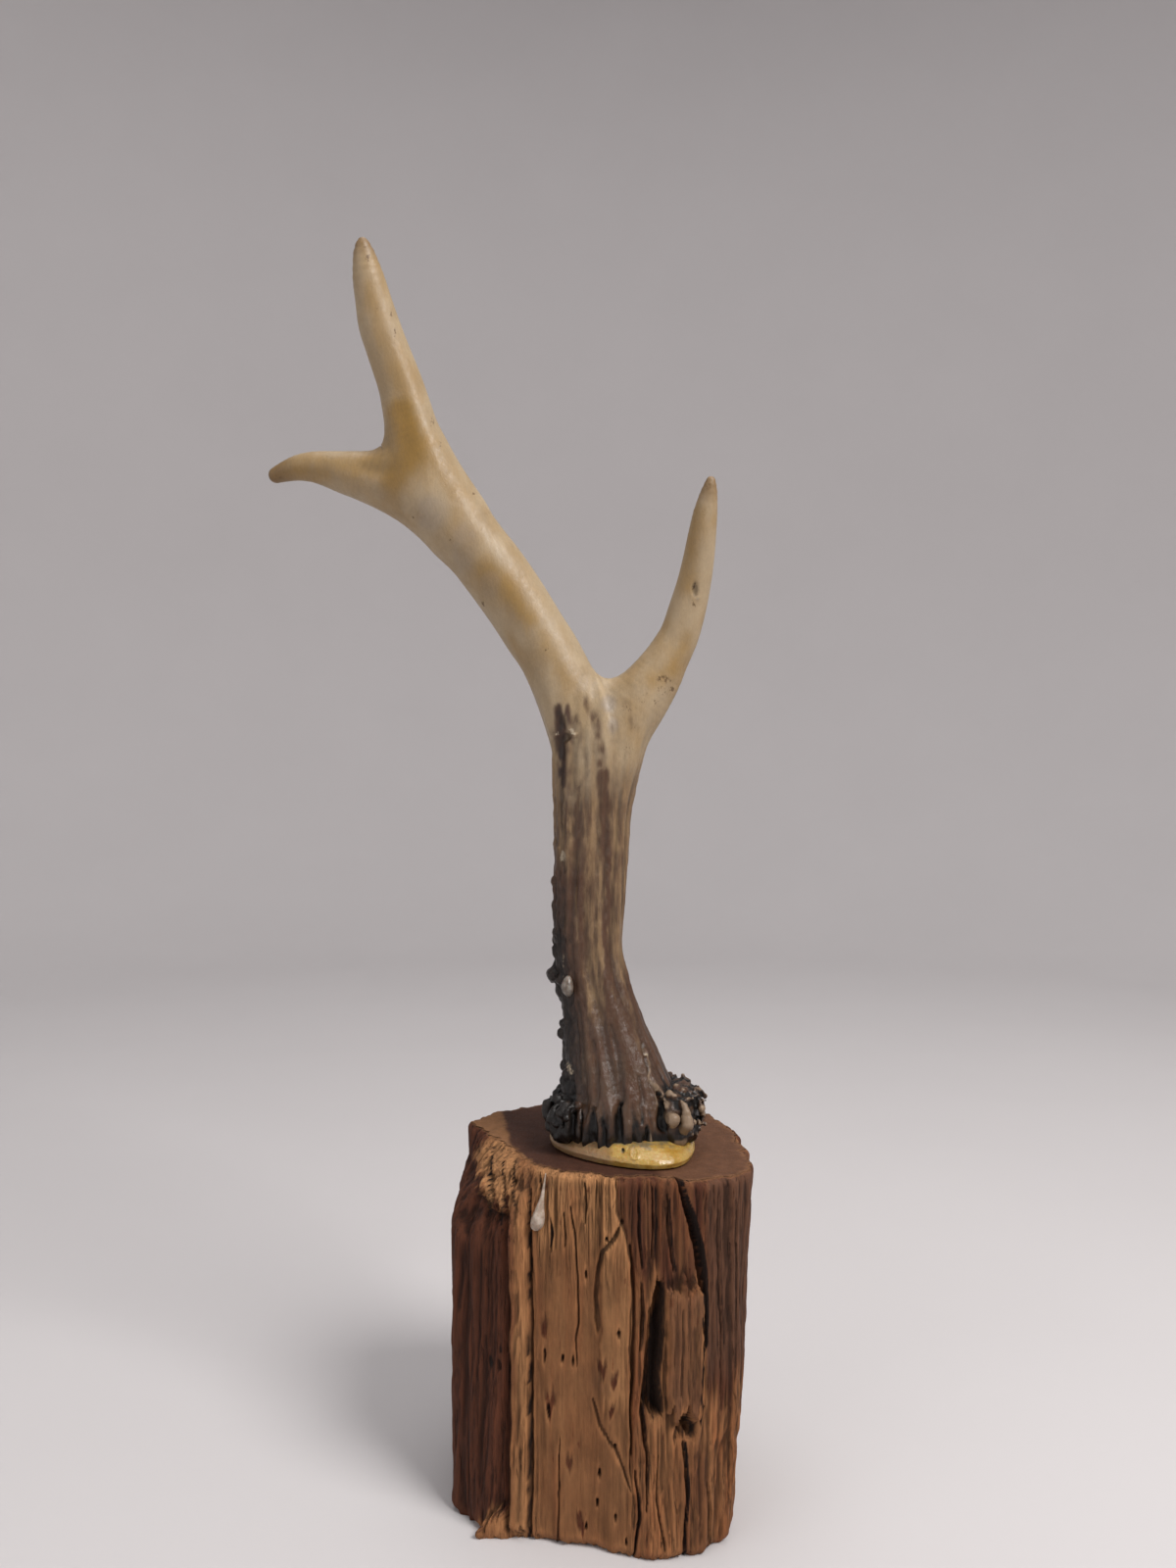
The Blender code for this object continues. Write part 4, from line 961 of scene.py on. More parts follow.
# Cracks, borings and gaps on the block's front: a path of (x, z, half width), how deep, and how dark
MARKS = (
    (((15.0, 79.4, 0.3), (15.7, 76.3, 0.55), (17.2, 72.0, 0.8), (18.9, 65.9, 0.85), (19.8, 59.8, 0.7),
      (20.2, 53.7, 0.55), (20.6, 49.4, 0.4), (20.5, 44.0, 0.2)), 2.4, 1.0),
    (((19.4, 51.0, 0.2), (20.4, 46.8, 0.45), (19.9, 43.0, 0.25), (19.5, 38.1, 0.2), (19.2, 27.7, 0.12)),
     1.6, 0.85),
    (((2.9, 70.0, 0.25), (1.4, 67.0, 0.5), (-1.3, 63.4, 0.5), (-2.3, 59.2, 0.55), (-2.9, 53.0, 0.6),
      (-2.5, 47.6, 0.75), (-2.6, 46.0, 0.3)), 0.7, 0.5),
    (((4.6, 65.0, 0.3), (5.0, 57.3, 0.4), (5.5, 47.5, 0.35), (5.2, 40.4, 0.5), (4.6, 29.8, 0.3),
      (4.8, 20.9, 0.25)), 0.8, 0.48),
    (((-3.6, 31.3, 0.2), (-1.9, 26.4, 0.5), (-0.5, 24.2, 0.3), (1.2, 22.0, 0.45), (3.2, 18.0, 0.3),
      (4.4, 14.0, 0.2)), 0.6, 0.45),
    (((-16.9, 74.0, 0.2), (-16.8, 60.0, 0.4), (-17.0, 40.0, 0.45), (-16.9, 20.0, 0.45), (-17.1, 0.0, 0.4)),
     1.2, 0.7),
    (((-12.5, 69.0, 0.1), (-12.3, 65.6, 0.4), (-12.4, 62.4, 0.15)), 0.9, 0.75),
    (((-8.2, 72.0, 0.12), (-7.3, 65.3, 0.25), (-6.8, 57.3, 0.2), (-6.6, 47.5, 0.25), (-7.2, 44.0, 0.15),
      (-6.8, 38.7, 0.12)), 0.7, 0.55),
    (((-9.7, 70.7, 0.12), (-9.2, 66.2, 0.25), (-9.3, 63.5, 0.12)), 0.6, 0.5),
    (((-5.0, 77.0, 0.15), (-4.8, 72.0, 0.3), (-5.1, 69.0, 0.12)), 0.6, 0.5),
    (((-14.8, 78.0, 0.15), (-14.6, 73.0, 0.4), (-14.9, 70.0, 0.15)), 0.9, 0.7),
    (((-26.8, 78.5, 0.2), (-26.2, 72.0, 0.5), (-26.0, 67.0, 0.3)), 1.4, 0.8),
    (((-23.4, 77.0, 0.15), (-23.2, 71.0, 0.35), (-23.4, 66.0, 0.3)), 1.2, 0.75),
    (((-20.6, 78.0, 0.2), (-20.9, 74.0, 0.4), (-20.2, 71.0, 0.3)), 1.2, 0.7),
    (((-10.5, 22.8, 0.1), (-10.7, 13.7, 0.22), (-10.9, 0.0, 0.25)), 0.8, 0.65),
    (((7.9, 40.6, 0.15), (7.0, 29.8, 0.45), (8.4, 20.9, 0.3), (7.9, 10.0, 0.15)), 1.1, 0.65),
    (((5.7, 17.5, 0.15), (6.4, 8.4, 0.4), (5.0, 0.0, 0.25)), 1.0, 0.65),
    (((10.6, 21.0, 0.12), (10.1, 12.0, 0.25), (11.7, 2.0, 0.2)), 0.8, 0.5),
    (((16.0, 24.0, 0.3), (16.4, 15.5, 0.4), (16.0, 6.8, 0.35), (15.6, 0.0, 0.4)), 1.3, 0.85),
    (((21.0, 15.0, 0.1), (21.5, 8.4, 0.25), (21.4, 1.0, 0.15)), 0.8, 0.55),
    (((7.0, 57.0, 0.15), (7.4, 50.0, 0.35), (6.9, 43.0, 0.2)), 0.9, 0.6),
    (((9.6, 77.0, 0.15), (9.9, 69.0, 0.35), (9.4, 62.0, 0.2)), 0.9, 0.7),
    (((6.2, 76.0, 0.15), (6.6, 67.0, 0.3), (7.2, 60.0, 0.15)), 0.8, 0.65),
    (((12.6, 76.0, 0.12), (13.0, 68.0, 0.35), (13.8, 60.0, 0.2)), 0.9, 0.7),
    (((23.4, 76.0, 0.15), (23.6, 60.0, 0.3), (24.2, 44.0, 0.25), (24.0, 30.0, 0.15)), 0.8, 0.55),
    (((26.8, 72.0, 0.15), (27.0, 55.0, 0.3), (26.6, 38.0, 0.15)), 0.7, 0.5),
    (((14.6, 53.0, 0.12), (15.0, 44.0, 0.2), (14.7, 35.0, 0.12)), 0.5, 0.45),
)
# Small beetle holes and shallow stained ovals: middle (x, z), half width and height
HOLES = (
    ((2.0, 46.4), (0.5, 0.8)), ((-2.0, 16.2), (0.4, 0.9)), ((-23.2, 39.8), (0.5, 1.2)),
    ((-25.5, 36.2), (0.6, 1.5)), ((-13.6, 39.8), (0.35, 1.5)), ((-10.0, 39.6), (0.35, 0.8)),
    ((-2.5, 9.9), (0.35, 0.8)), ((1.4, 7.8), (0.35, 0.5)), ((-0.9, 66.0), (0.25, 0.3)),
    ((-5.2, 57.7), (0.25, 0.8)), ((1.2, 22.4), (0.35, 0.5)), ((-13.0, 28.0), (0.45, 1.6)),
    ((-7.6, 39.2), (0.3, 0.9)), ((-4.9, 4.6), (0.3, 0.7)), ((3.4, 3.2), (0.3, 0.8)),
)
OVALS = (
    ((-1.5, 38.9), (1.1, 1.8)), ((1.0, 36.4), (1.0, 1.9)), ((-6.2, 6.4), (0.9, 2.3)),
    ((0.4, 30.4), (0.8, 1.3)), ((-12.6, 30.0), (1.2, 3.0)), ((-8.4, 17.0), (0.8, 2.4)),
    ((-13.8, 46.0), (0.8, 2.6)),
)


def layer_edge(z):
    """Where the dark upper layer of the front ends, going right."""
    return np.interp(z, (15.0, 57.7, 65.6, 71.3, 77.5), (4.5, 4.5, 3.8, 1.6, 1.1))


def recess_top(x):
    """The ragged upper end of the dark recess on the left of the front."""
    return np.interp(x, (-34, -31, -28.5, -27, -25.5, -23, -21.4), (74.5, 73.5, 71, 68.5, 68, 69, 70.5))


def recess_foot(x):
    """The lower end of the recess, where pale splinters stand below it on the right."""
    return np.interp(x, (-30.4, -28.4), (-8.0, 4.0))


def channel(x, z):
    """1 in the deep dark channel right of the middle."""
    left = np.interp(z, (28.2, 30.4, 34.8, 41.0, 48.9, 57.5), (9.1, 7.5, 7.8, 8.2, 8.9, 10.9))
    right = np.interp(z, (28.2, 34.8, 41.0, 57.5), (11.4, 11.0, 11.4, 12.0))
    return stripe(x, left, right, 0.3) * stripe(z, 28.2, 57.8, 0.6)


def frayed(x, z):
    """Places on the front moved a little, as torn fibres run."""
    across = 0.9 * (noise(x / 5.0, 4.4, z / 6.0) - 0.5) + 0.4 * (noise(x / 1.1, 7.7, z / 1.8) - 0.5)
    along = 5.0 * (noise(x / 0.7, 1.3, z / 30.0) - 0.5) + 1.6 * (noise(x / 0.35, 9.1, z / 12.0) - 0.5)
    return x + across, z + along


def front_relief(x, z):
    """How far the weathered front of the block is sunk at each place, in mm."""
    xs, zs = frayed(x, z)
    sunk = 2.6 * rise(x, -34.5, -33.5) * fade(xs, -21.9, -20.9)
    sunk *= rise(zs - recess_foot(x), -1.5, 1.5)
    sunk *= rise(recess_top(x) - zs, -0.6, 0.6)
    sunk -= 1.4 * stripe(0.5 * (x + xs), -20.6, -17.3, 0.4) * stripe(0.6 * z + 0.4 * zs, 2.5, 74.0, 0.8)
    sunk += 1.1 * stripe(xs, layer_edge(z), 26.0, 0.2) * rise(z, -2.0, 22.0)
    sunk -= 0.5 * stripe(xs, -1.8, 4.3, 0.4) * stripe(zs, 30.0, 66.0, 3.0)
    sunk += 3.6 * channel(xs, zs)
    sunk -= 1.9 * stripe(xs, 12.4, 19.4, 0.25) * stripe(zs, 30.4, 57.5, 0.4)
    sunk += 2.6 * spot(xs, zs, (16.3, 27.4), (2.0, 2.4))
    for path, depth, _ in MARKS:
        sunk += depth * line(0.5 * (x + xs), 0.9 * z + 0.1 * zs, path, 0.3, 1.3)
    for centre, half_sizes in HOLES:
        sunk += 1.0 * spot(xs, z, centre, half_sizes)
    for centre, half_sizes in OVALS:
        sunk += 0.25 * spot(xs, zs, centre, half_sizes)
    return sunk


def fibre_relief(x, y, z, front):
    """Torn fibres: long narrow ridges that end in steps, in mm outwards."""
    coarse = noise(x / 1.9 + 2, y / 1.9, z / 21.0)
    steps = 5.0 * coarse
    terraces = (np.floor(steps) + rise(steps % 1.0, 0.0, 0.22)) / 5.0
    narrow = noise(x / 0.95 + 6, y / 0.95, z / 13.0)
    steps = 4.0 * narrow
    splinters = (np.floor(steps) + rise(steps % 1.0, 0.0, 0.25)) / 4.0
    fine = noise(x / 0.75, y / 0.75 + 5, z / 9.0) - 0.5
    hair = noise(x / 0.4 + 1, y / 0.4, z / 4.5) - 0.5
    smooth_front = front * stripe(x, -16.0, 4.0, 1.5) * fade(z, 54, 68)
    rough = 1 - 0.85 * smooth_front
    torn_rim = rise(z, 60, 74)
    return (rough * (0.9 * (terraces - 0.5) + (0.55 + 0.4 * torn_rim) * (splinters - 0.5) + 0.4 * fine)
            + (0.22 - 0.12 * smooth_front) * hair)


def block_surface(theta, z):
    """The block's radius in each direction (columns) at each height (rows)."""
    outlines = (TOP_OUTLINE, SHOULDER_OUTLINE, BOTTOM_OUTLINE)
    top, shoulder, bottom = (outline_at(outline, theta, OUTLINE_STEPS, 3) for outline in outlines)
    high = np.clip((z - SHOULDER_HEIGHT) / (BLOCK_HEIGHT - SHOULDER_HEIGHT), 0, 1)[:, None]
    low = np.clip(z / SHOULDER_HEIGHT, 0, 1)[:, None] ** 0.6
    radius = np.where(high > 0, shoulder + (top - shoulder) * high**1.6, bottom + (shoulder - bottom) * low)
    x, y = radius * np.cos(theta), radius * np.sin(theta)
    height = np.broadcast_to(z[:, None], radius.shape)
    front = rise(-y, 2.0, 10.0)
    radius = radius - front * front_relief(x, height) - 0.5 * (1 - front)
    flutes = noise(x / 3.2, y / 3.2, height / 34.0) - 0.5
    fibres = noise(x / 1.3 + 9, y / 1.3, height / 14.0) - 0.5
    radius = radius + (1.7 - 0.5 * front) * flutes + (0.5 - 0.25 * front) * fibres
    radius = radius + fibre_relief(x, y, height, front)
    # the right corner breaks away in a notch
    ragged = height + 9.0 * (noise(x / 1.7, y / 1.7, height / 30.0) - 0.5)
    radius = radius - 0.6 * stripe(np.degrees(theta), -46.0, -14.0, 12.0) * fade(ragged, 23.0, 25.5)
    # worn edges above and below
    chips = 0.3 + 1.4 * noise(x / 2.6, y / 2.6, 3.0) + 1.1 * noise(x / 0.7, y / 0.7, 6.0)
    worn = np.clip(1 - (BLOCK_HEIGHT - height) / 1.6, 0, 1) ** 2 + 1.3 * np.clip(1 - height / 2.2, 0, 1) ** 2
    return radius - 0.7 * chips * worn


def block_paint(mesh, points, side, rim_share):
    """Store what the wood's material needs to know. side is 1 on the sides and 0 on the sawn ends."""
    x, y, z = points.T
    wobble = noise(x / 0.9, y / 0.9, z / 12.0) - 0.5
    slow = noise(x / 5.0, y / 5.0, z / 18.0) - 0.5
    jagged = noise(x / 1.6, y / 1.6, z / 40.0) - 0.5
    front = rise(0.75 * np.clip(-16 - x, 0, 20) - y, 2.0, 8.0)
    xs, zs = frayed(x, z)
    zs = zs + 4.0 * wobble
    zj = zs + 16.0 * jagged
    deep = hollowness(mesh, points, BLOCK_HOLLOW_ROUNDS)

    right_of_edge = rise(xs, layer_edge(z) - 0.2, layer_edge(z) + 0.7)
    # the recess is partly dark wood and partly a painted shadow cast by a hand
    recess = fade(xs, -21.6, -20.8) * rise(recess_top(x) - zs, -0.5, 0.8)
    recess *= rise(zs - recess_foot(x), -1.0, 2.0)
    upper_dark = right_of_edge * rise(zj, 50, 62)
    lower_dark = stripe(xs, 15.0, 21.0, 0.8) * fade(zj, 18, 34)
    plank = stripe(xs, 12.4, 19.6, 0.3) * stripe(zs, 30.4, 57.5, 1.0)
    far_right = rise(xs, 19.6, 21.2) * rise(zj, 24.0, 38.0)
    torn_band = stripe(xs, 5.0, 8.4, 0.4) * fade(zs, 58, 66)
    ridge_edge = stripe(xs, -21.6, -20.2, 0.4) * stripe(z, 30.0, 76.0, 4.0)
    splinters = stripe(xs, -24.0, -16.5, 0.6) * rise(z, 71.0, 75.0) * (0.5 + wobble)
    stained = rise(slow + 0.4 * wobble, 0.08, 0.3)
    dark = np.maximum.reduce([
        0.92 * recess, (0.7 - 0.7 * wobble) * upper_dark, 0.5 * lower_dark, 0.3 * plank, 0.75 * far_right,
        0.5 * ridge_edge, 0.35 * torn_band, 0.5 * splinters, 0.22 * stained,
    ])
    grey = np.maximum(0.7 * far_right * rise(zs, 26, 44), 0.5 * plank)
    grey = np.maximum(grey, 0.4 * spot(x, z, (-1.0, 36.0), (4.5, 4.0)))
    orange = np.maximum.reduce([
        0.7 * rise(xs, 20.0, 22.5) * fade(zj, 20, 38) * (0.7 + wobble),
        0.6 * stripe(xs, 8.0, 16.2, 0.7) * fade(zj, 18, 34) * (0.7 + wobble),
        0.7 * torn_band * (0.5 + 1.5 * np.abs(wobble)), 0.35 * rise(wobble + slow, 0.12, 0.4),
        0.5 * stripe(xs, -9.6, -5.6, 0.8) * stripe(z, 36.0, 78.0, 5.0),
        0.8 * upper_dark * rise(wobble, 0.05, 0.3),
    ])
    light = np.maximum.reduce([
        0.65 * stripe(xs, -20.2, -17.4, 0.4) * fade(z, 70, 74) * (0.75 + 0.5 * slow),
        0.95 * fade(x, -22.0, -18.0) * rise(zs - recess_top(x), 0.0, 1.5),
        0.6 * stripe(xs, -1.8, 4.2, 0.8) * stripe(z, 30.0, 72.0, 4.0),
        0.75 * stripe(xs, -16.0, 3.0, 1.5) * rise(zj, 52, 72),
        0.2 * stripe(xs, -16.0, 4.0, 1.5), 0.3 * stripe(xs, -26.5, -20.5, 0.8) * fade(zs, 2.0, 4.5),
        0.7 * stripe(xs, 5.0, 14.0, 0.5) * fade(zj, 16, 34) * rise(wobble, -0.1, 0.25),
        0.5 * stripe(xs, 21.0, 27.0, 0.5) * fade(zj, 10, 30) * rise(wobble, 0.0, 0.3),
    ])
    thin = noise(x / 0.8, 3.3, z / 3.0)
    half_x, half_z = 0.5 * (x + xs), 0.9 * z + 0.1 * zs
    black = np.maximum.reduce([
        0.74 * channel(xs, zs), 0.7 * spot(xs, zs, (16.3, 27.4), (2.0, 2.2)),
        *(np.minimum(1.0, darkness**2 * 1.6) * (0.6 + 0.7 * thin)
          * line(half_x, half_z, path, 0.5, 1.5) for path, _, darkness in MARKS),
        line(half_x, half_z, MARKS[0][0], 0.8, 1.4),
        *(0.75 * spot(xs, z, centre, sizes) for centre, sizes in HOLES),
    ])
    rust = sum(0.75 * spot(xs, zs, centre, sizes) for centre, sizes in OVALS)
    rust = rust + 0.6 * rise(noise(x / 0.7 + 3, y / 0.7, z / 3.6), 0.82, 0.94)
    bands = noise(np.arctan2(y, x) * 3.2 + 4, 2.5, z / 70.0)
    back = 1 - front
    dark = front * dark + back * (0.2 + 0.7 * rise(bands + 0.35 * slow + 0.2 * wobble, 0.4, 0.62))
    light = front * light + back * 0.55 * fade(bands + 0.35 * slow, 0.3, 0.5)
    orange = front * orange + back * 0.6 * rise(noise(x / 6, y / 6, z / 40) + 0.4 * wobble, 0.45, 0.8)
    knots = rise(noise(x / 2.2 + 8, y / 2.2, z / 9.0), 0.86, 0.97)
    even = front * stripe(xs, -15.5, 4.4, 1.2) * fade(z + 6 * slow, 52, 66)
    even = np.maximum.reduce([
        even, 0.6 * front * plank, 0.55 * front * far_right, 0.3 * front, 0.4 * front * recess,
    ])
    store(mesh, "wood_tone", side * light, side * dark, side * orange)
    black = front * black + back * 0.7 * knots
    # the blue channel holds the hollows, painted darker as shade and the ridges lighter
    store(mesh, "wood_marks_and_shade", side * black, side * grey * front, rise(deep, -0.3, 0.3))
    store(mesh, "wood_feel", even, side * rust, 1 - side)
    # the sawn top: dark heartwood by the antler, paler to the right and at the left corner
    right_light = rise(x + 0.5 * (y + 22) + 4 * slow, 9.0, 14.0)
    heart_edge = np.interp(y, (-18.0, -6.5, 24.0), (-14.5, -21.5, -25.6))
    left_light = fade(x - heart_edge + 3.0 * slow, -1.2, 1.2)
    rim = rise(rim_share, 0.955, 0.99)
    store(mesh, "wood_top", left_light, rim, right_light)


def make_block():
    turn = np.linspace(-math.pi, math.pi, BLOCK_COLUMNS, endpoint=False)
    theta = turn - FRONT_CROWDING * np.cos(turn)
    theta = np.where(theta < -math.pi, theta + 2 * math.pi, theta)
    lip = np.array(LIP)
    z = np.concatenate([lip, np.linspace(3.0, BLOCK_HEIGHT - 3.0, PLAIN_ROWS), BLOCK_HEIGHT - lip[::-1]])
    radius = block_surface(theta, z)
    x, y = radius * np.cos(theta), radius * np.sin(theta)
    rows = [np.stack([x, y, np.broadcast_to(z[:, None], x.shape)], axis=-1).reshape(-1, 3)]
    share = [np.ones(x.size)]
    faces = tube_faces(len(z), BLOCK_COLUMNS, capped=False)
    count = x.size
    for height, edge, sign, rings in ((BLOCK_HEIGHT, len(z) - 1, 1, TOP_RINGS), (0.0, 0, -1, BASE_RINGS)):
        previous = edge * BLOCK_COLUMNS
        for ring in range(1, rings):
            shrink = 1 - ring / rings
            cap_x, cap_y = x[edge] * shrink, y[edge] * shrink
            dents = 0.12 * (noise(cap_x / 3.0, cap_y / 3.0, 8.0) - 0.5)
            dents = dents + 0.05 * (noise(cap_x / 0.8, cap_y / 6.0, 2.0) - 0.5)
            level = height + (dents - 0.06) * (sign > 0)
            rows.append(np.stack([cap_x, cap_y, np.broadcast_to(level, cap_x.shape)], axis=-1))
            share.append(np.full(BLOCK_COLUMNS, shrink))
            faces += ring_faces(*(previous, count)[::sign], BLOCK_COLUMNS)
            previous = count
            count += BLOCK_COLUMNS
        rows.append(np.array([[0.0, 0.0, height - 0.06 * (sign > 0)]]))
        share.append(np.zeros(1))
        for i in range(BLOCK_COLUMNS):
            j = (i + 1) % BLOCK_COLUMNS
            faces.append((previous + i, previous + j, count)[::sign])
        count += 1
    points = np.concatenate(rows)
    block = mesh_object("wood", points, faces)
    side = np.zeros(len(points))
    side[:x.size] = np.repeat(np.clip((BLOCK_HEIGHT - z) / SAWN_EDGE, 0, 1), BLOCK_COLUMNS)
    block_paint(block.data, points, side, np.concatenate(share))
    return block


WOOD_TAN = srgb(122, 84, 54)
WOOD_LIGHT = srgb(146, 105, 69)
WOOD_DARK = srgb(72, 40, 26)
WOOD_ORANGE = srgb(114, 70, 42)
WOOD_GREY = srgb(80, 55, 41)
WOOD_BLACK = srgb(18, 9, 6)
WOOD_RUST = srgb(82, 42, 24)
SAWN_HEART = srgb(66, 39, 27)
SAWN_DARK = srgb(60, 36, 26)
SAWN_SAP = srgb(124, 87, 57)
SAWN_LIGHT = srgb(91, 61, 43)


def wood_material():
    paint = Paint("weathered_timber", IOR=1.5, Specular_IOR_Level=0.18)
    fibre = paint.noise(0.5, (1, 1, 20), detail=5, roughness=0.65)
    streak = paint.noise(1.6, (1, 1, 15), detail=5, roughness=0.62, shift=4.0)
    blotch = paint.noise(7.0, (1, 1, 2.6), detail=4, shift=11.0)
    patchy = paint.noise(2.6, (1, 1, 2.2), detail=4, roughness=0.6, shift=17.0)
    grit = paint.noise(0.35, (1, 1, 3), detail=3, roughness=0.7, shift=2.0)
    cracks = paint.noise(0.7, (1, 1, 14), detail=3, distortion=0.4, shift=23.0)
    cracks = paint.fit(cracks, 0.6, 0.7)
    even = paint.channel("wood_feel", "r")
    torn = paint.rest(paint.times(even, 0.88))

    colour = paint.mix(paint.fit(blotch, 0.3, 0.75, 0.0, 0.45), WOOD_TAN, WOOD_ORANGE)
    colour = paint.layer(colour, WOOD_LIGHT, "wood_tone", "r", fibre, 0.6, 0.1, 0.95)
    colour = paint.layer(colour, WOOD_ORANGE, "wood_tone", "b", streak, 0.9, 0.15, 0.95)
    colour = paint.layer(colour, WOOD_DARK, "wood_tone", "g", streak, 0.7, 0.1, 0.9)
    colour = paint.layer(colour, WOOD_GREY, "wood_marks_and_shade", "g", streak, 0.7, 0.2, 0.95)
    colour = paint.shade(colour, patchy, 0.85, 1.13)
    colour = paint.mix(even, colour, paint.shade(colour, patchy, 0.9, 1.08))
    rough_tone = paint.shade(paint.shade(colour, streak, 0.66, 1.34), fibre, 0.7, 1.34)
    even_tone = paint.shade(paint.shade(colour, streak, 0.91, 1.07), fibre, 0.93, 1.07)
    colour = paint.mix(even, rough_tone, even_tone)
    colour = paint.layer(colour, WOOD_RUST, "wood_feel", "g", grit, 0.7, 0.2, 0.9)
    colour = paint.mix(paint.times(paint.times(cracks, torn), 0.5), colour, WOOD_BLACK)
    # painted shade in the hollows and painted highlight on the ridges
    hollow = paint.channel("wood_marks_and_shade", "b")
    colour = paint.mix(even, paint.shade(colour, hollow, 1.45, 0.38), paint.shade(colour, hollow, 1.22, 0.62))
    marked = paint.ragged("wood_marks_and_shade", "r", grit, 0.4, 0.1, 0.8)
    colour = paint.mix(paint.times(marked, 0.97), colour, WOOD_BLACK)

    sawn = paint.mix(paint.fit(blotch, 0.3, 0.7), SAWN_HEART, SAWN_DARK)
    sawn = paint.layer(sawn, SAWN_LIGHT, "wood_top", "b", patchy, 0.3, 0.1, 0.9)
    sawn = paint.layer(sawn, SAWN_SAP, "wood_top", "r", grit, 0.5, 0.2, 0.85)
    edge = paint.times(paint.ragged("wood_top", "g", patchy, 0.9, 0.3, 0.9), 0.35)
    sawn = paint.mix(edge, sawn, SAWN_SAP)
    rings = paint.add("ShaderNodeTexWave", [("Vector", paint.place), ("Scale", 110.0), ("Distortion", 6.0),
                                            ("Detail", 4.0), ("Detail Scale", 1.2)],
                      wave_type="RINGS", rings_direction="Z").outputs[1]
    sawn = paint.shade(sawn, rings, 0.97, 1.02)
    sawn = paint.shade(sawn, patchy, 0.82, 1.16)
    sawn = paint.shade(sawn, grit, 0.86, 1.12)
    top = paint.channel("wood_feel", "b")
    colour = paint.mix(top, colour, sawn)

    rough = paint.fit(fibre, 0.2, 0.8, 0.62, 0.9)
    side = paint.times(paint.rest(top), torn)
    normal = paint.bump(paint.times(fibre, side), 0.6)
    normal = paint.bump(paint.times(streak, side), 0.8, normal)
    normal = paint.bump(paint.times(cracks, side), -0.5, normal)
    normal = paint.bump(patchy, 0.15, normal)
    normal = paint.bump(grit, 0.1, normal)
    return paint.finish(colour, rough, normal)


# Glue

AIR_HOLE = (3.1, 82.6)
BUBBLE = (5.5, 82.4)

# The two dried drops, as (x, y, z, half width) from one end to the other
DRIP_PATH = (
    (-13.6, -19.4, 78.3, 0.1), (-13.9, -19.6, 76.2, 0.22), (-14.3, -19.9, 73.6, 0.45),
    (-14.8, -20.2, 71.2, 0.9), (-15.2, -20.4, 69.0, 1.45), (-15.5, -20.3, 67.2, 1.35),
    (-15.7, -20.1, 66.3, 0.5),
)
BEAD_PATH = (
    (-9.0, -4.6, 118.4, 0.4), (-9.1, -4.9, 117.5, 1.0), (-9.2, -5.1, 116.2, 1.4),
    (-9.1, -5.2, 115.0, 1.25), (-9.0, -5.1, 114.2, 0.8), (-8.9, -4.9, 113.7, 0.3),
)


def make_glue():
    centre = np.array(BURR_CENTRE)
    angles = np.linspace(-math.pi, math.pi, GLUE_RIM, endpoint=False)
    grid = np.linspace(-math.pi, math.pi, 36, endpoint=False)
    coarse = softened(outline_radius(np.array(GLUE_OUTLINE) - centre, grid), 1)
    reach = softened(np.interp(angles, grid, coarse, period=2 * math.pi), 60)
    tall = 2.4 + (GLUE_HEIGHT - 2.4) * (0.5 - 0.5 * np.sin(angles + 0.35))
    wavy = 0.5 * (noise(np.cos(angles) * 9, np.sin(angles) * 9, 1.0) - 0.5)
    profile = np.array(GLUE_PROFILE)
    points = []
    heights = np.concatenate([np.linspace(0, 1, GLUE_LEVELS), np.full(4, 1.0)])
    for level, height in enumerate(heights):
        spread = np.interp(height, profile[:, 0], profile[:, 1])
        if level >= GLUE_LEVELS:
            spread -= 0.17 * (level - GLUE_LEVELS + 1)
        x = centre[0] + (spread * reach + wavy * height) * np.cos(angles)
        y = centre[1] + (spread * reach + wavy * height) * np.sin(angles)
        lumps = 0.35 * (noise(x / 2.4, y / 2.4, height * 2) - 0.5) * height
        z = GLUE_BASE + height * tall + lumps
        front = rise(-y, 8, 12)
        ring = np.abs(np.hypot(x - BUBBLE[0], z - BUBBLE[1]) - 0.9)
        out = front * (0.28 * fade(ring, 0.0, 0.4) - 0.9 * spot(x, z, AIR_HOLE, (0.3, 0.3)))
        out += 0.12 * (noise(x / 1.2, y / 1.2, z / 1.2) - 0.5)
        x, y = x + out * np.cos(angles), y + out * np.sin(angles)
        points.append(np.stack([x, y, z], axis=-1))
    faces = tube_faces(len(points), GLUE_RIM)
    points = np.concatenate(points)
    glue = mesh_object("glue", points, faces)
    x, y, z = points.T
    front = rise(-y, 8, 12)
    dull = fade(x + 3 * (noise(x / 2.5, y / 2.5, z / 2.5) - 0.5), -4.5, 3.5)
    # the air hole is painted near black as the shade inside it
    hole = front * spot(x, z, AIR_HOLE, (0.42, 0.42))
    darker_top = rise(z + 1.2 * (noise(x / 0.9, y / 0.9, 3.0) - 0.5), GLUE_BASE + 2.9, GLUE_BASE + 4.6)
    store(glue.data, "glue_tone", dull, hole, darker_top)
    return glue


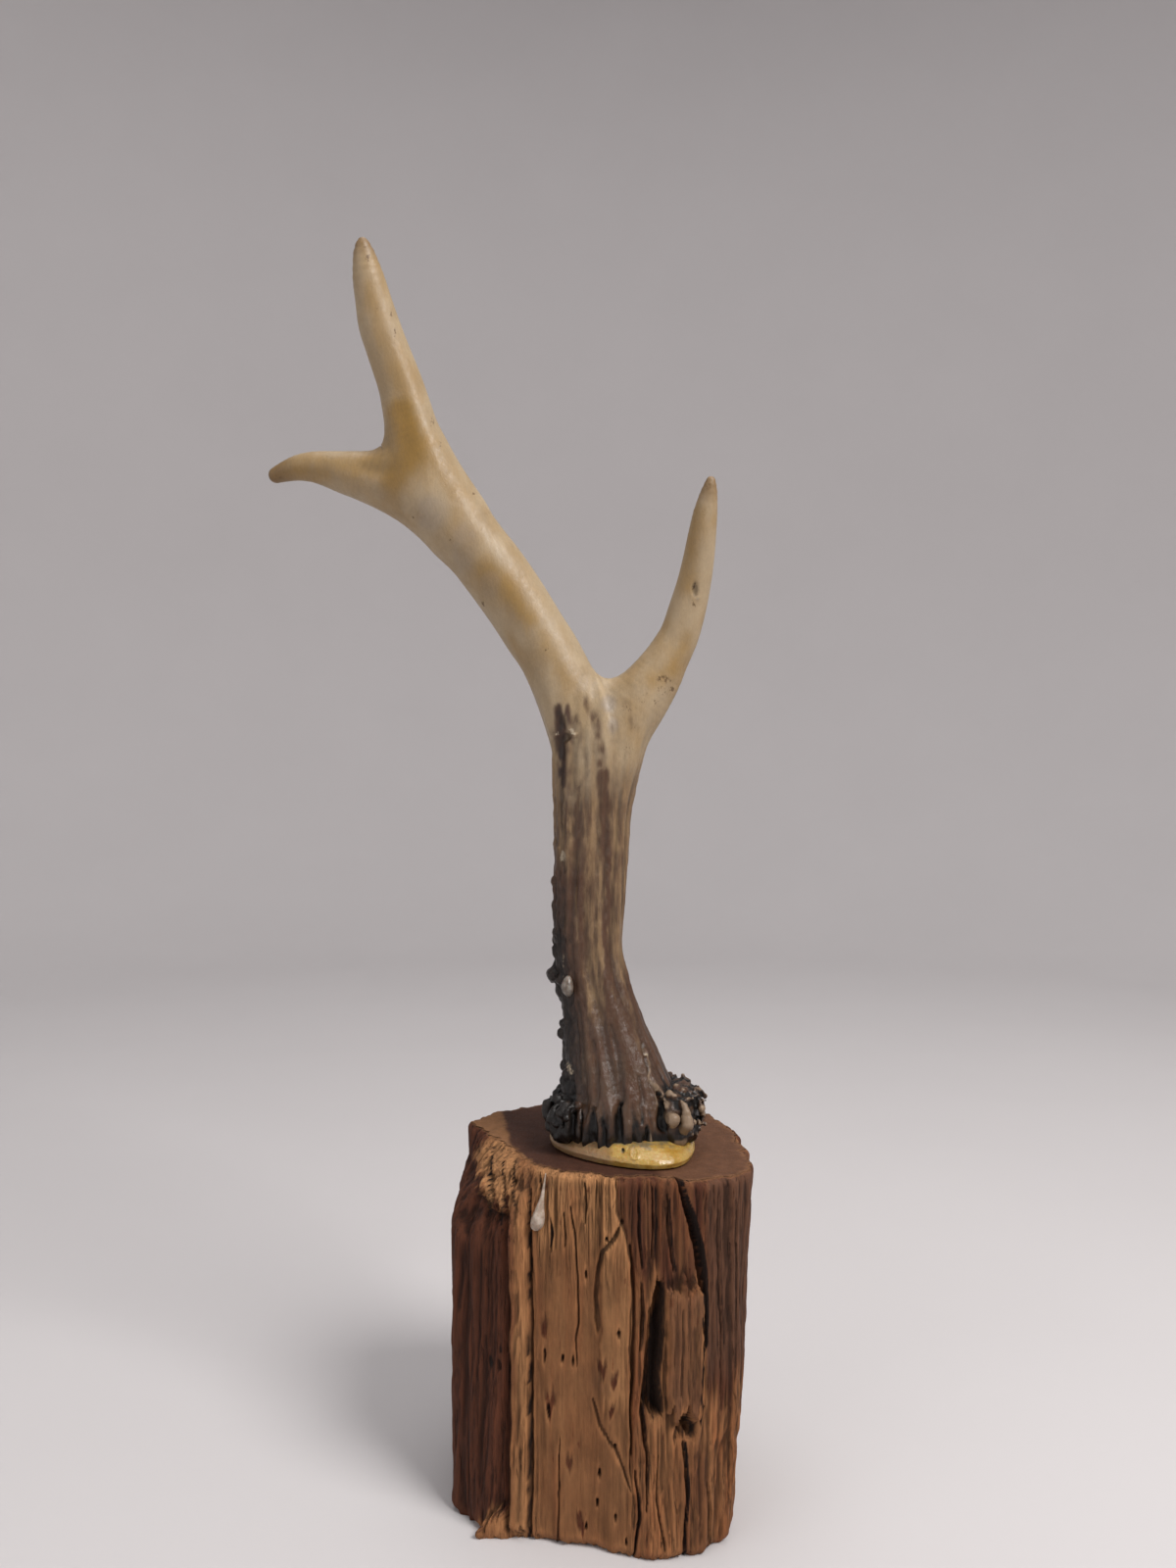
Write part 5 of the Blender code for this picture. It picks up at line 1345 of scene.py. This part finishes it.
def glue_material():
    paint = Paint("cured_glue", Subsurface_Weight=0.2, Subsurface_Scale=1.5 * MM, IOR=1.48, Coat_Weight=0.25,
                  Coat_Roughness=0.15)
    cloudy = paint.noise(2.6, (1, 1, 0.8), detail=3)
    milky = paint.noise(1.0, (1, 1, 0.7), detail=3, shift=9.0)
    fine = paint.noise(0.5, detail=2, shift=5.0)
    colour = paint.mix(paint.fit(cloudy, 0.35, 0.7), srgb(168, 137, 70), srgb(152, 116, 44))
    colour = paint.mix(paint.fit(milky, 0.5, 0.75, 0.0, 0.5), colour, srgb(172, 148, 98))
    dull = paint.ragged("glue_tone", "r", cloudy, 0.6, 0.1, 0.9)
    colour = paint.mix(dull, colour, srgb(134, 104, 70))
    # darker towards the top of the glue, where it meets the antler
    colour = paint.mix(paint.ragged("glue_tone", "b", fine, 0.8, 0.2, 0.9), colour, srgb(112, 96, 66))
    # painted shade inside the air hole
    colour = paint.mix(paint.channel("glue_tone", "g"), colour, srgb(14, 10, 8))
    rough = paint.maths("ADD", paint.fit(fine, 0.3, 0.7, 0.26, 0.42), paint.times(dull, 0.2))
    normal = paint.bump(milky, 0.2, paint.bump(fine, 0.04))
    return paint.finish(colour, rough, paint.bump(cloudy, 0.3, normal))


def make_drop(name, path, flatness):
    """A run of dried glue along a path of (x, y, z, half width), flattened against what it lies on."""
    fine = fine_spine(path, 0.4)
    turns = np.linspace(0, 2 * math.pi, DROP_SIDES, endpoint=False)
    rings = []
    for point in fine:
        x = point[0] + point[3] * np.cos(turns)
        y = point[1] + point[3] * flatness * np.sin(turns)
        rings.append(np.stack([x, y, np.full(DROP_SIDES, point[2])], axis=-1))
    return mesh_object(name, np.concatenate(rings), tube_faces(len(rings), DROP_SIDES))


def white_glue_material(name, milky, clear):
    paint = Paint(name, Subsurface_Weight=0.15, Subsurface_Scale=0.8 * MM, IOR=1.45)
    cloudy = paint.noise(1.4, detail=2)
    fine = paint.noise(0.3, detail=2, shift=2.0)
    colour = paint.mix(paint.fit(cloudy, 0.3, 0.7), milky, clear)
    return paint.finish(colour, paint.fit(fine, 0.3, 0.7, 0.24, 0.34), paint.bump(cloudy, 0.04))


# Room, in metres

ROOM_SIDES = 96
AIM = (-0.01, 0.0, 0.15)
CAMERA_PLACE = (-0.0045, -0.273, 0.1621)
CAMERA_LENS = 27.045
SENSOR_WIDTH = 36.0


def make_backdrop():
    """A pale floor that curves up into a wall all round."""
    profile = [(0.0, 0.0), (0.3, 0.0), (0.6, 0.0), (0.8, 0.0)]
    for i in range(1, 13):
        bend = 0.5 * math.pi * i / 12
        profile.append((0.8 + 0.5 * math.sin(bend), 0.5 - 0.5 * math.cos(bend)))
    profile += [(1.3, 0.9), (1.3, 1.6), (1.3, 2.2)]
    points = []
    for radius, height in profile:
        for i in range(ROOM_SIDES):
            turn = 2 * math.pi * i / ROOM_SIDES
            points.append((radius * math.cos(turn) / MM, radius * math.sin(turn) / MM, height / MM))
    backdrop = mesh_object("backdrop", points, tube_faces(len(profile), ROOM_SIDES, capped=False))
    paint = Paint("backdrop_paper", IOR=1.45)
    mottle = paint.noise(120.0, detail=2)
    colour = paint.mix(mottle, srgb(196, 192, 192), srgb(192, 188, 188))
    paint.finish(colour, 0.9, paint.bump(paint.noise(1.5, detail=2), 0.02))
    backdrop.data.materials.append(paint.material)


def add_light(name, place, aim, size, power, colour):
    light = bpy.data.lights.new(name, "AREA")
    light.shape = "DISK"
    light.size = size
    light.energy = power
    light.color = colour
    made = new_object(name, light)
    made.location = place
    made.rotation_euler = (Vector(aim) - Vector(place)).to_track_quat("-Z", "Y").to_euler()


def make_room():
    make_backdrop()
    add_light("key", (0.45, -0.42, 0.75), AIM, 0.4, 8.5, (1.0, 0.985, 0.97))
    add_light("fill", (-0.7, -0.6, 0.45), AIM, 0.9, 2.2, (0.97, 0.985, 1.0))
    add_light("top", (0.0, 0.1, 1.4), AIM, 1.0, 6.0, (1.0, 1.0, 1.0))
    world = bpy.data.worlds.new("room_light")
    world.use_nodes = True
    sky = world.node_tree.nodes["Background"]
    sky.inputs["Color"].default_value = (0.8, 0.8, 0.82, 1.0)
    sky.inputs["Strength"].default_value = 0.6
    bpy.context.scene.world = world

    camera = bpy.data.cameras.new("camera")
    camera.lens = CAMERA_LENS
    camera.sensor_width = SENSOR_WIDTH
    camera.clip_start = 0.01
    camera.clip_end = 20.0
    made = new_object("camera", camera)
    made.location = CAMERA_PLACE
    made.rotation_euler = (math.radians(90.0), 0.0, 0.0)
    bpy.context.scene.camera = made
    bpy.context.scene.view_settings.view_transform = "Standard"


def dress(made, material, slot, *nodes):
    """Give a piece its material, put it under the root body, and hide the CAD nodes it takes the place of."""
    made.data.materials.append(material)
    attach(made, "root")
    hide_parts(*nodes)


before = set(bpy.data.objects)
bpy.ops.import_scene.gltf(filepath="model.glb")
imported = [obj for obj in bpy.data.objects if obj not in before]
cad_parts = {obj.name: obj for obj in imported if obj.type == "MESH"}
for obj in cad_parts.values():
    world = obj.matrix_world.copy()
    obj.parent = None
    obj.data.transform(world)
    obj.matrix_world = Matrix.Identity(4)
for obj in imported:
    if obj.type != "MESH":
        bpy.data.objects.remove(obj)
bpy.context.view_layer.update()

white_glue = white_glue_material("dried_white_glue", srgb(176, 162, 148), srgb(140, 122, 106))
clear_glue = white_glue_material("dried_clear_glue", srgb(124, 115, 106), srgb(88, 76, 66))
dress(make_antler(), antler_material(), "ivory_antler", "antler_lower_beam", "antler_upper_beam",
      "antler_top_tine", "antler_rear_tine", "antler_front_tine")
dress(make_block(), wood_material(), "weathered_wood", "wood_block")
dress(make_glue(), glue_material(), "yellow_adhesive", "glue_pad")
dress(make_drop("glue_run", DRIP_PATH, 0.9), white_glue, "dried_adhesive", "glue_drip")
dress(make_drop("glue_blob", BEAD_PATH, 0.9), clear_glue, "dried_adhesive", "glue_bead")
make_room()
